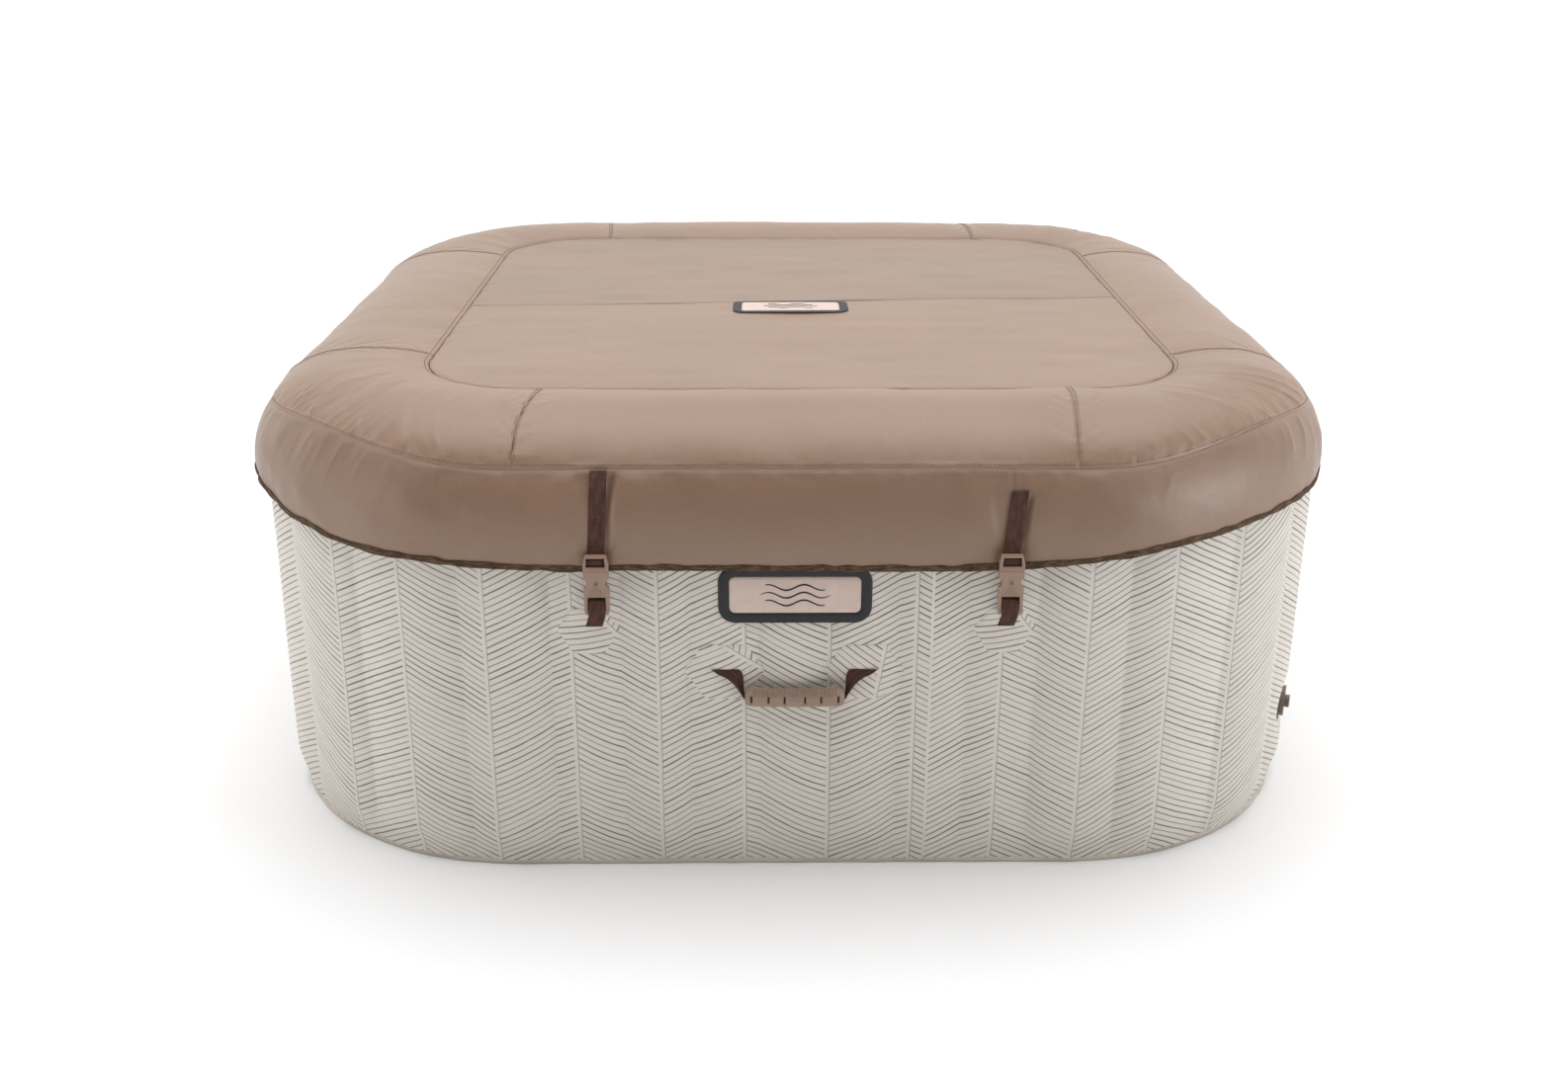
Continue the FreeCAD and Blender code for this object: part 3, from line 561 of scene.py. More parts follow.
def wall_relief(s, z):
    """Everything that moves the outer skin in or out; it lies flat round its fittings."""
    foot = smooth(z, WELT_TOP, FOOT_TOP)
    out = bulge(s) * (0.25 + 0.75 * foot) * (1 - 0.35 * smooth(z, 0.50, RIM_Z))
    out += 0.0030 * lap_noise(s, z, 24, 0.5, 14) * foot
    out -= FOOT_TUCK * (1 - smooth(z, 0.0, 0.060))
    pucker = lap_noise(s, z, 420, 0.05, 11) * (0.35 + 0.65 * cornering(s))
    out += 0.0022 * pucker * (1 - smooth(z, 0.015, 0.055)) * smooth(z, WELT_TOP, 0.02)
    out += 0.0012 * lap_noise(s, z, 60, 0.22, 12)
    crease = lap_noise(s + 0.35 * z, z, 160, 0.09, 13)
    t, _ = lobes(s)
    out += 0.0007 * crease * (np.abs(t - 0.5) * 2) ** 2
    for place, height, reach in FITTINGS:
        gap = np.mod(s - place + LAP / 2, LAP) - LAP / 2
        out = out * (1 - np.exp(-((gap ** 2 + (z - height) ** 2) / reach ** 2) ** 2))
    return out


def around(count):
    """Places round the tub, with the ties on the sample grid so that creases stay sharp."""
    places = np.array(web_places())
    stops = np.concatenate([places, [places[0] + QUARTER]])
    one = [np.linspace(a, b, max(3, int(round(count * (b - a) / LAP))), endpoint=False)
           for a, b in zip(stops[:-1], stops[1:])]
    quarter = np.concatenate(one)
    return np.concatenate([quarter + k * QUARTER for k in range(4)])


def make_wall():
    """The printed outer skin, from the foot strip up to the rim."""
    s = around(1500)[:, None]
    z = np.concatenate([np.linspace(STRIP_TOP - 0.002, FOOT_TOP, 20), np.linspace(0.083, RIM_Z, 62)])[None, :]
    points = ring_point(s, TUB_HALF + wall_relief(s, z), z)
    wall = grid_piece("wall_print_sheet", points, s, z, MATERIALS["print"], "tub", wrap=True)
    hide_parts("outer_wall")


def make_rim():
    """The plain rolled rim over the top of the two walls."""
    s = around(1100)[:, None]
    angle = np.linspace(-0.06, math.pi + 0.06, 40)[None, :]
    swell = bulge(s) * (0.65 + 0.35 * np.abs(np.cos(angle)))
    radius = RIM_R - 0.0045 * np.sin(angle) ** 2 + swell * (1 - 0.6 * np.sin(angle) ** 2)
    points = ring_point(s, RIM_MID + radius * np.cos(angle), RIM_Z + radius * np.sin(angle))
    rim = grid_piece("rim_skin", points, s, angle * RIM_R, MATERIALS["liner"], "tub",
                     wrap=True)
    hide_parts("top_rim")


def make_liner():
    """The inner wall's skin, which bulges towards the water."""
    s = around(900)[:, None]
    z = np.concatenate([np.linspace(0.004, 0.07, 10), np.linspace(0.08, RIM_Z, 40)])[None, :]
    relief = -bulge(s) * (0.3 + 0.7 * smooth(z, 0.0, 0.08)) + 0.001 * lap_noise(s, z, 50, 0.2, 21)
    points = ring_point(s, LINER_HALF - 0.0016 + relief, z)
    liner = grid_piece("liner_skin", points, s, z, MATERIALS["liner"], "tub",
                       wrap=True, flip=True)
    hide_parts("inner_wall")


def make_webs():
    """Fabric ties between the two walls, one at each valley of the skin."""
    across = np.linspace(0, 1, 8)[:, None]
    z = np.linspace(0.02, RIM_Z, 30)[None, :]
    first = None
    for k in range(4):
        for number, place in enumerate(web_places()):
            s = place + k * QUARTER
            outer = TUB_HALF + wall_relief(s, z) - 0.0010
            inner = LINER_HALF - bulge(s) + 0.0002
            wave = 0.0015 * np.sin(across * math.pi) * lattice_noise(z * 14, number + 12 * k, 22)
            points = ring_point(s + wave, inner + (outer - inner) * across, z)
            name = "tie_web_%s_%d" % (SIDES[k], number)
            piece = grid_piece(name, points, across * 0.2, z, MATERIALS["web"], "tub")
            thicken(piece, 0.0009, 0.0)
            first = first or piece
    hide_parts("tension_webs")


def make_welt():
    """The plain weld strip round the foot, a little wavy, with its own fold."""
    s = around(900)[:, None]
    section = np.array([(-0.012, 0.0), (-0.0050, 0.0), (-0.0040, 0.0015), (-0.0042, 0.006),
                        (-0.0046, 0.0115), (-0.0058, 0.0135), (-0.012, 0.0138)])
    out = section[None, :, 0]
    z = section[None, :, 1] * STRIP_TOP / WELT_TOP
    wave = 0.0008 * lap_noise(s, 0 * s, 200, 1.0, 31) + 0.0006 * lap_noise(s, 0 * s, 60, 1.0, 32)
    points = ring_point(s, TUB_HALF + out + wave, z)
    welt = grid_piece("foot_weld_strip", points, s, z, MATERIALS["strip"], "tub", wrap=True)
    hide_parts("base_welt")


def make_wall_seam():
    """The lap joint that closes the printed sheet, right of the front's middle."""
    z = np.linspace(STRIP_TOP, RIM_Z, 90)[None, :]
    half = 0.0022
    across = np.linspace(-half, half, 7)[:, None]
    s = LAP_JOINT + across
    lift = 0.0010 * (1 - (across / half) ** 2) + 0.0001
    points = ring_point(s, TUB_HALF + wall_relief(s, z) + lift, z)
    grid_piece("wall_lap_joint", points, s, z, MATERIALS["joint"], "tub")


# ------------------------------------------------------------------ wall patches
STRAP_PATCH = (0.415, 0.096, 0.086)        # a patch's height on the wall, width and height
HANDLE_PATCH = (0.345, 0.125, 0.105)
STRAP_PATCH_SHIFT = 0.018                  # the first strap's patches are welded off its line


def patch_piece(name, centre_s, shape, material):
    """A welded patch: rounded hexagon that follows the wall, with a soft raised edge."""
    centre_z, width, height = shape
    r = np.linspace(0, 1, 14)[:, None]
    angle = np.linspace(0, 2 * math.pi, 96, endpoint=False)[None, :]
    hexagon = 0.5 * (0.90 + 0.055 * np.cos(6 * angle))
    s = centre_s + width * hexagon * r * np.cos(angle)
    z = centre_z + height * hexagon * r * np.sin(angle)
    lift = 0.0004 + 0.0012 * (1 - smooth(r, 0.93, 1.0)) + 0 * angle
    points = ring_point(s, TUB_HALF + wall_relief(s, z) + lift, z)
    return grid_piece(name, np.moveaxis(points, 0, 1), (s - centre_s + 0.03).T, (z - centre_z).T, material,
                      "tub", wrap=True, lap=0)


def make_patches():
    """Reinforcement patches under the straps and under the handles' ends."""
    plan = [("strap", side, tag, u, STRAP_PATCH, "patch_strap")
            for side in SIDES for tag, u in (("a", BUCKLE_A - STRAP_PATCH_SHIFT), ("b", BUCKLE_B))]
    plan += [("handle", side, tag, u, HANDLE_PATCH, "patch_%s" % tag)
             for side in HANDLE_SIDES for tag, u in (("left", -ANCHOR_U), ("right", ANCHOR_U))]
    for kind, side, tag, u, shape, material in plan:
        name = "%s_patch_%s_%s" % (kind, side, tag)
        piece = patch_piece(name, SIDES.index(side) * QUARTER + u, shape, MATERIALS[material])
    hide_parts("strap_patches")
    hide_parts("handle_patches")


# ------------------------------------------------------------------ cover
# Height of the skirt's lower edge: (side, distance along it from its middle or degrees round its corner).
HEM_KNOTS = (
    [(0.0, 0.521), (0.31, 0.521), (SIDE / 2, 0.533), (arc_place(15), 0.551), (arc_place(30), 0.564),
     (arc_place(60), 0.572), (arc_place(90), 0.566)],
    [(0.0, 0.550), (0.31, 0.546), (SIDE / 2, 0.556), (arc_place(30), 0.568), (arc_place(60), 0.566),
     (arc_place(90), 0.540)],
    [(0.0, 0.526), (0.31, 0.523), (SIDE / 2, 0.534), (arc_place(30), 0.560), (arc_place(60), 0.571),
     (arc_place(90), 0.562)],
    [(0.0, 0.550), (0.31, 0.550), (SIDE / 2, 0.566), (arc_place(21), 0.572), (arc_place(39), 0.556),
     (arc_place(54), 0.543), (arc_place(81), 0.529), (arc_place(90), 0.524)],
)


def hem_height(s):
    """The knots joined up all the way round, with their kinks smoothed."""
    at = np.concatenate([[k * QUARTER + a for a, _ in row] for k, row in enumerate(HEM_KNOTS)])
    z = np.concatenate([[b for _, b in row] for row in HEM_KNOTS])
    count = 1200
    lap = np.arange(count) / count * LAP
    level = np.interp(lap, at, z, period=LAP)
    kernel = np.hanning(61)
    level = np.convolve(np.tile(level, 3), kernel / kernel.sum(), "same")[count:2 * count]
    return np.interp(np.mod(s, LAP), lap, level, period=LAP)


def hem_line(s):
    """Half width and height of the skirt's lower edge."""
    c = cornering(s)
    wave = 0.0025 * lap_noise(s, 0 * s, 90, 1.0, 41) + 0.0015 * lap_noise(s, 0 * s, 220, 1.0, 42)
    half = HEM_HALF - 0.004 * c + 0.003 * lap_noise(s, 0 * s, 40, 1.0, 43) + 0.4 * wave
    z = hem_height(s) + wave * (0.4 + 0.6 * c)
    return half, z


def shoulder_line(s):
    """Half width and height of the seam between border and skirt."""
    c = cornering(s)
    wave = 0.0009 * lap_noise(s, 0 * s, 60, 1.0, 44)
    return SEAM_HALF - 0.022 * c + wave, SEAM_Z + 0.026 * c + wave


def strap_dip(s, t):
    """Skirt pulled in behind each strap; t runs from the shoulder seam to the hem.

    Two folds leave the strap's sewn end and close in on it lower down.
    """
    u = side_offset(s)
    dip = 0 * (s + t)
    for place, top in ((BUCKLE_A, -0.10), (BUCKLE_B, STRAP_B_TOP)):
        near = np.exp(-((u - place) / 0.020) ** 2)
        dip = dip - 0.0050 * near * smooth(t, top, top + 0.2)
        window = smooth(t, top - 0.04, top + 0.14) * (1 - smooth(t, 0.45, 1.0))
        middle = 0.0165 + 0.009 * (1 - smooth(t, top, top + 0.55))
        fold = np.exp(-((np.abs(u - place) - middle) / 0.0075) ** 2)
        ridge = np.exp(-((np.abs(u - place) - 0.060) / 0.022) ** 2)
        depth = 0.0016 + 0.0062 * smooth(u - place, -0.01, 0.01)
        dip = dip + (0.0020 * ridge - depth * fold) * window
    return dip


def fan(s, t, seed, count, lean):
    """Folds that run out from the shoulder seam and lean as they climb."""
    phase = lap_noise(s + lean * (1 - t), t, count, 0.9, seed)
    sharp = lap_noise(s + lean * (1 - t), t, count * 2, 0.6, seed + 1)
    return (1 - np.abs(phase)) ** 3 - 0.35 + 0.35 * (1 - np.abs(sharp)) ** 2


# The border's section: two seams and two handles between them, as half width and height.
BORDER = np.array([(PANEL_HALF, PANEL_Z), (0.700, 0.744), (0.838, 0.742), (SEAM_HALF, SEAM_Z)])


def border_section(count=300):
    """The border's section as a curve with four handles: length along it, half width, height."""
    f = np.linspace(0, 1, count)[:, None]
    weights = ((1 - f) ** 3, 3 * f * (1 - f) ** 2, 3 * f ** 2 * (1 - f), f ** 3)
    points = sum(weight * handle for weight, handle in zip(weights, BORDER))
    length = np.concatenate([[0], np.cumsum(np.hypot(*np.diff(points, axis=0).T))])
    return length, points[:, 0], points[:, 1]


SECTION_LENGTH, SECTION_HALF, SECTION_Z = border_section()
BORDER_LENGTH = float(SECTION_LENGTH[-1])


def border_profile(s, t):
    """Half width and height on the border, t from the centre panel (0) to the shoulder (1)."""
    at = np.clip(t, 0, 1) * BORDER_LENGTH
    seam_half, seam_z = shoulder_line(s)
    return (np.interp(at, SECTION_LENGTH, SECTION_HALF) + (seam_half - SEAM_HALF) * smooth(t),
            np.interp(at, SECTION_LENGTH, SECTION_Z) + (seam_z - SEAM_Z) * t ** 4)


def seam_groove(distance, depth=0.0018, width=0.0038):
    """A seam pulls the cloth in; distance is in metres from the seam."""
    return -depth * np.exp(-(distance / width) ** 2)


def puckers(s, distance, seed, count, reach, height):
    """Small gathers that fade out within reach of a seam."""
    return height * lap_noise(s, distance, count, 0.05, seed) * np.exp(-distance / reach)


def border_relief(s, t):
    """Folds and seams on the border, as distance out along the surface."""
    c = cornering(s)
    inner, outer = t * BORDER_LENGTH, (1 - t) * BORDER_LENGTH
    divide = np.abs(np.abs(side_offset(s)) - DIVIDE)
    out = puckers(s, inner, 51, 620, 0.014, 0.0008) + puckers(s, outer, 52, 520, 0.022, 0.0013)
    out += 0.0012 * lattice_noise(t * 26, s * 3, 53) * np.exp(-divide / 0.018)
    folds = fan(s, t, 54, 150, 0.14) * c * smooth(t, 0.08, 0.55)
    out += 0.0055 * folds * (0.5 + 0.5 * lap_noise(s, t, 30, 0.7, 55))
    out += 0.0016 * fan(s, t, 56, 300, -0.08) * (0.2 + 0.8 * c) * smooth(t, 0.45, 1.0)
    out += 0.0018 * lap_noise(s, t, 44, 0.9, 57) + 0.0011 * lap_noise(s, t, 120, 0.35, 58)
    out *= smooth(inner, 0.0, 0.020) * smooth(outer, 0.0, 0.016)
    out += seam_groove(inner, 0.0030, 0.0030)
    out += seam_groove(outer)
    return out + seam_groove(divide, 0.0008, 0.0026)


def border_points(s, t, step=1e-3):
    """The border's skin: its profile, pushed out along its normal by the relief."""
    half, z = border_profile(s, t)
    after, before = border_profile(s, np.clip(t + step, 0, 1)), border_profile(s, np.clip(t - step, 0, 1))
    dh, dz = after[0] - before[0], after[1] - before[1]
    size = np.hypot(dh, dz)
    relief = border_relief(s, t)
    skin = ring_point(s, half - dz / size * relief, z + dh / size * relief)
    slip = np.array([*PANEL_SHIFT, 0.0]) * (1 - smooth(t))[..., None]
    return skin + slip + drifts["border"].at(s, t)


class Drift:
    """How far the simulated cloth moved, on a grid round the tub by down the section."""

    def __init__(self, moved):
        self.moved = moved

    def at(self, s, t):
        """Catmull-Rom sampling: s runs round the tub, t from 0 to 1 down the section."""
        n, m = self.moved.shape[:2]
        s, t = np.broadcast_arrays(np.asarray(s, float), t)
        a, b = np.mod(s / LAP, 1) * n, np.clip(t, 0, 1) * (m - 1)
        ia, ib = np.floor(a).astype(int), np.minimum(np.floor(b).astype(int), m - 2)
        total = np.zeros(s.shape + (3,))
        for i, wa in enumerate(self.weights(a - ia)):
            for j, wb in enumerate(self.weights(b - ib)):
                row = np.clip(ib + j - 1, 0, m - 1)
                total += (wa * wb)[..., None] * self.moved[(ia + i - 1) % n, row]
        return total

    @staticmethod
    def weights(f):
        return (-0.5 * f + f ** 2 - 0.5 * f ** 3, 1 - 2.5 * f ** 2 + 1.5 * f ** 3,
                0.5 * f + 2 * f ** 2 - 1.5 * f ** 3, -0.5 * f ** 2 + 0.5 * f ** 3)


STILL = Drift(np.zeros((4, 2, 3)))
drifts = {"border": STILL, "skirt": STILL}
SIM_ROUND, SIM_BORDER, SIM_SKIRT = 760, 27, 15    # points of the simulated grid
SIM_FRAMES = 22
MOST_DRIFT = 0.011                         # a point moves no further than this
SIM_CLOTH = {
    "quality": 5, "mass": 0.25, "tension_stiffness": 18, "compression_stiffness": 18,
    "shear_stiffness": 8, "bending_stiffness": 0.35, "air_damping": 3,
    "use_pressure": True, "uniform_pressure_force": 2.2,
    "vertex_group_mass": "held", "vertex_group_shrink": "spare", "shrink_min": 0.0, "shrink_max": -0.045,
}


def simulate_cover():
    """Blows up the cover's skin between its seams, with spare cloth at the corners.

    The centre seam, the shoulder seam, the hem and the straps hold it. The grid's
    movement is kept, capped, and carried over to the finer panels.
    """
    s = (np.arange(SIM_ROUND) / SIM_ROUND * LAP)[:, None]
    border_t = np.linspace(0, 1, SIM_BORDER)[None, :]
    skirt_t = np.linspace(0, 1, SIM_SKIRT)[None, :]
    border, skirt = border_points(s, border_t), skirt_points(s, skirt_t)
    rest = np.concatenate([border, skirt[:, 1:]], axis=1)
    n, m = rest.shape[:2]
    cloth = mesh_piece("cover_simulation", rest, grid_faces(n, m, True)[:, ::-1], MATERIALS["cloth"],
                       "cover")
    held = np.zeros((n, m))
    held[:, [0, SIM_BORDER - 1, m - 1]] = 1
    u = side_offset(s)
    for place in (BUCKLE_A, BUCKLE_B):
        held[:, SIM_BORDER:] = np.maximum(held[:, SIM_BORDER:], np.abs(u - place) < STRAP_WIDTH / 2)
    divide = np.abs(np.abs(u) - DIVIDE) < LAP / SIM_ROUND * 0.6
    held[:, :SIM_BORDER] = np.maximum(held[:, :SIM_BORDER], 0.85 * divide)
    spare = 0.25 + 0.75 * np.broadcast_to(cornering(s), (n, m)) * smooth(np.arange(m) / m, 0.1, 0.5)
    for name, weight in (("held", held), ("spare", spare)):
        group = cloth.vertex_groups.new(name=name)
        for level in np.unique(np.round(weight, 2)):
            if level > 0:
                members = np.nonzero(np.round(weight.ravel(), 2) == level)[0].tolist()
                group.add(members, float(level), "REPLACE")
    mod = cloth.modifiers.new("cloth", "CLOTH")
    for key, value in SIM_CLOTH.items():
        setattr(mod.settings, key, value)
    mod.settings.effector_weights.gravity = 0
    mod.collision_settings.use_collision = False
    for frame_number in range(1, SIM_FRAMES + 1):
        bpy.context.scene.frame_set(frame_number)
    shaped = cloth.evaluated_get(bpy.context.evaluated_depsgraph_get()).to_mesh()
    now = np.zeros(n * m * 3, np.float32)
    shaped.vertices.foreach_get("co", now)
    moved = now.reshape(n, m, 3).astype(float) - rest
    size = np.linalg.norm(moved, axis=-1, keepdims=True)
    moved *= MOST_DRIFT * np.tanh(size / MOST_DRIFT) / np.maximum(size, 1e-9)
    bpy.data.objects.remove(cloth)
    bpy.context.scene.frame_set(1)
    drifts["border"] = Drift(moved[:, :SIM_BORDER])
    drifts["skirt"] = Drift(moved[:, SIM_BORDER - 1:])


def border_panel(name, start, end, count):
    rows = [np.linspace(0, 0.06, 9), np.linspace(0.075, 0.925, 62), np.linspace(0.94, 1, 9)]
    t = np.concatenate(rows)[None, :]
    s = np.linspace(start, end, count)[:, None]
    return grid_piece(name, border_points(s, t), s, t * BORDER_LENGTH, MATERIALS["cloth"], "cover",
                      flip=True)


def make_border_panels():
    """A border panel on each side and a gathered corner panel after it."""
    borders, corners = [], []
    for k, side in enumerate(SIDES):
        first, last = k * QUARTER - DIVIDE, k * QUARTER + DIVIDE
        borders.append(border_panel("cover_border_%s" % side, first, last, 260))
        corners.append(border_panel("cover_corner_%s" % side, last, first + QUARTER, 330))
    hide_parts("cover_border_panels")
    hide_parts("cover_corner_panels")
    for piece in borders + corners:
        thicken(piece, CLOTH_THICKNESS)


def skirt_points(s, t):
    """The skirt's skin; t runs from the shoulder seam (0) to the hem (1)."""
    seam_half, seam_z = shoulder_line(s)
    hem_half, hem_z = hem_line(s)
    c = cornering(s)
    flare = 1 - (1 - np.clip(t, 0, 1)) ** 2.2
    half = seam_half + (hem_half - seam_half) * flare + (0.0040 - 0.001 * c) * np.sin(t * math.pi)
    z = seam_z + (hem_z - seam_z) * t
    drop, rise = t * SKIRT_LENGTH, (1 - t) * SKIRT_LENGTH
    out = puckers(s, drop, 61, 460, 0.03, 0.0018) + puckers(s, rise, 62, 300, 0.03, 0.0016)
    out += 0.0032 * fan(s, 1 - t, 63, 130, 0.05) * (0.15 + c) * (1 - smooth(t, 0.1, 0.75))
    out += (0.0014 + 0.0016 * c) * lap_noise(s + 0.1 * t, t, 46, 0.8, 64)
    out += 0.0011 * lap_noise(s - 0.15 * t, t, 130, 0.35, 65)
    out = (out + strap_dip(s, t)) * smooth(drop, 0.0, 0.016) + seam_groove(drop)
    out += seam_groove(np.abs(side_offset(s) - BUCKLE_B), 0.0012, 0.003) * (1 - smooth(t, STRAP_B_TOP, 0.3))
    return ring_point(s, half + out, z) + drifts["skirt"].at(s, t)


SKIRT_ROUND = 1900                         # points of the skirt and its hem, round the tub


def make_skirt():
    s = (np.arange(SKIRT_ROUND) / SKIRT_ROUND * LAP)[:, None]
    rows = [np.linspace(0, 0.07, 7), np.linspace(0.09, 0.95, 40), np.linspace(0.965, 1, 4)]
    t = np.concatenate(rows)[None, :]
    # the skirt takes the darker copy of the cloth, which is painted shade
    skirt = grid_piece("cover_skirt_cloth", skirt_points(s, t), s, -t * SKIRT_LENGTH,
                       MATERIALS["cloth_painted_shade_skirt"], "cover", wrap=True, flip=True)
    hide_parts("cover_skirt")
    return thicken(skirt, CLOTH_THICKNESS)


def make_hem(skirt):
    """Folded tape over the hem: a flat loop in section, stitched near its top."""
    s = (np.arange(SKIRT_ROUND) / SKIRT_ROUND * LAP)[:, None]
    base = skirt_points(s, np.array([[1.0]]))[:, 0]
    inward = -np.stack(outline(s[:, 0])[2:] + (0 * s[:, 0],), axis=-1)
    section = [(-0.0020, 0.0062), (-0.0026, 0.0020), (-0.0022, -0.0022), (0.0, -0.0040),
               (0.0026, -0.0030), (0.0034, 0.0010), (0.0030, 0.0062), (0.0005, 0.0066)]
    n = len(section)
    points = np.zeros((len(s), n + 1, 3))
    flutter = 1 + 0.25 * lap_noise(s, 0 * s, 320, 1.0, 71)[:, 0]
    for k in range(n + 1):
        inn, up = section[k % n]
        points[:, k] = base + inward * (inn * flutter)[:, None]
        points[:, k, 2] += up * flutter
    hem = grid_piece("hem_tape", points, s, np.linspace(0, 0.03, n + 1)[None, :], MATERIALS["binding"],
                     "cover", wrap=True, flip=True)
    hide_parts("hem_binding")


def reach_at(x, half):
    """How far the outline of that half width reaches along Y at each x."""
    past = np.clip(np.abs(x) - CORNER, 0, None)
    return CORNER + np.sqrt(np.clip((half - CORNER) ** 2 - past ** 2, 0, None))


def inside_distance(x, y, half):
    """Distance in from the outline of that half width."""
    qx, qy = np.abs(x) - CORNER, np.abs(y) - CORNER
    outside = np.hypot(np.clip(qx, 0, None), np.clip(qy, 0, None))
    return half - CORNER - outside - np.minimum(np.maximum(qx, qy), 0)


def cross_seam(x):
    """Y of the seam between the two centre panels."""
    return -0.013 + 0.062 * x + 0.002 * np.sin(x * 9)


def panel_height(x, y, front):
    """Height of the centre panel's skin, with its seams, gathers and shallow creases."""
    d = np.clip(inside_distance(x, y, PANEL_HALF), 0, None)
    rise = CROWN * (1 - (1 - np.clip(d / 0.42, 0, 1)) ** 2)
    z = PANEL_Z + rise + seam_groove(d)
    from_seam = np.abs(y - cross_seam(x))
    z += seam_groove(from_seam, 0.0020, 0.004)
    z += 0.0007 * lattice_noise(x * 70, y * 20, 81) * np.exp(-from_seam / 0.018)
    along = np.arctan2(y, x) * 0.62
    z += 0.0010 * lattice_noise(along * 80 + 300, d * 20, 82) * np.exp(-d / 0.022)
    z += 0.0022 * lattice_noise(x * 4 + 9, y * 5 + 9, 83) * smooth(d, 0, 0.1)
    z += 0.0010 * lattice_noise(x * 9 + 30, y * 22 + 30, 84 if front else 85) * smooth(d, 0, 0.08)
    return z


def make_centre_panels():
    bend = np.linspace(0, math.pi / 2, 40)
    outer = CORNER + (PANEL_HALF - CORNER) * np.sin(bend)
    x = np.concatenate([-outer[::-1], np.linspace(-CORNER, CORNER, 150)[1:-1], outer])[:, None]
    rows = [np.linspace(0, 0.02, 6), np.linspace(0.03, 0.95, 90), np.linspace(0.957, 1, 10)]
    v = np.concatenate(rows)[None, :]
    # the rear panel takes the darker copy of the cloth, which is painted shade
    for name, node, sign, key in (("cover_top_front", "cover_centre_front", -1, "cloth"),
                                  ("cover_top_rear", "cover_centre_rear", 1, "cloth_painted_shade_rear")):
        start, end = cross_seam(x), sign * reach_at(x, PANEL_HALF)
        y = start + (end - start) * v
        z = panel_height(x + 0 * y, y, sign < 0)
        points = np.stack([x + 0 * y, y, z], axis=-1) + np.array([*PANEL_SHIFT, 0.0])
        piece = grid_piece(name, points, x, y, MATERIALS[key], "cover", flip=sign < 0)
        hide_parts(node)
        thicken(piece, CLOTH_THICKNESS)


# ------------------------------------------------------------------ stitching
STITCH_LIFT = 0.0002
SEAM_ALLOWANCE = 0.0036                    # stitches on each side of a dividing seam


def stitches(path, up, spacing=0.0056, length=0.0040, radius=0.00055):
    """A row of small thread stitches lying on a path."""
    step = np.linalg.norm(np.diff(path, axis=0), axis=1)
    run = np.concatenate([[0], np.cumsum(step)])
    at = np.arange(spacing, run[-1] - spacing, spacing)
    centre = np.stack([np.interp(at, run, path[:, k]) for k in range(3)], -1)
    ahead = np.stack([np.interp(at + length / 2, run, path[:, k]) for k in range(3)], -1)
    normal = np.stack([np.interp(at, run, up[:, k]) for k in range(3)], -1)
    along = ahead - centre
    across = np.cross(along, normal)
    across /= np.linalg.norm(across, axis=1)[:, None]
    normal = normal / np.linalg.norm(normal, axis=1)[:, None]
    rows = [centre - along, centre + across * radius * 1.4, centre + normal * radius * 2,
            centre - across * radius * 1.4, centre - normal * radius, centre + along]
    verts = np.stack(rows, axis=1)
    pattern = np.array([[0, 1, 2], [0, 2, 3], [0, 3, 4], [0, 4, 1],
                        [5, 2, 1], [5, 3, 2], [5, 4, 3], [5, 1, 4]])
    faces = (np.arange(len(at)) * 6)[:, None, None] + pattern[None]
    return verts.reshape(-1, 3), faces.reshape(-1, 3)


def merged(rows):
    """Several (points, faces) meshes as one."""
    verts, faces, offset = [], [], 0
    for v, f in rows:
        verts.append(v)
        faces.append(f + offset)
        offset += len(v)
    return np.concatenate(verts), np.concatenate(faces)


def upward(points_of, s, t, d=1e-3):
    """Surface normal by differences, for laying thread on a grid surface."""
    a = points_of(s + d, t) - points_of(s - d, t)
    b = points_of(s, t + d) - points_of(s, t - d)
    n = np.cross(a, b)
    n /= np.linalg.norm(n, axis=-1)[..., None]
    return n * np.sign(n[..., 2:3] + 0.2)


def surface_stitch(points_of, s, t):
    """A row of stitches along a line of a surface, just proud of it."""
    s, t = np.broadcast_arrays(s, t)
    normal = upward(points_of, s, t)
    return stitches(points_of(s, t) + normal * STITCH_LIFT, normal)


def make_stitching():
    s = np.linspace(0, LAP, 2600)
    rows = [surface_stitch(border_points, s, 1 - 0.007 / BORDER_LENGTH),
            surface_stitch(border_points, s, 0.008 / BORDER_LENGTH),
            surface_stitch(skirt_points, s, 0.955)]
    t = np.linspace(0.03, 0.97, 120)
    for k in range(4):
        for place in (-DIVIDE, DIVIDE):
            for gap in (-SEAM_ALLOWANCE, SEAM_ALLOWANCE):
                rows.append(surface_stitch(border_points, k * QUARTER + place + gap, t))
    t = np.linspace(0.02, STRAP_B_TOP, 30)
    for k in range(4):
        rows.append(surface_stitch(skirt_points, k * QUARTER + BUCKLE_B + 0.004, t))
    verts, faces = merged(rows)
    mesh_piece("cover_stitching", verts, faces, MATERIALS["thread"], "cover")


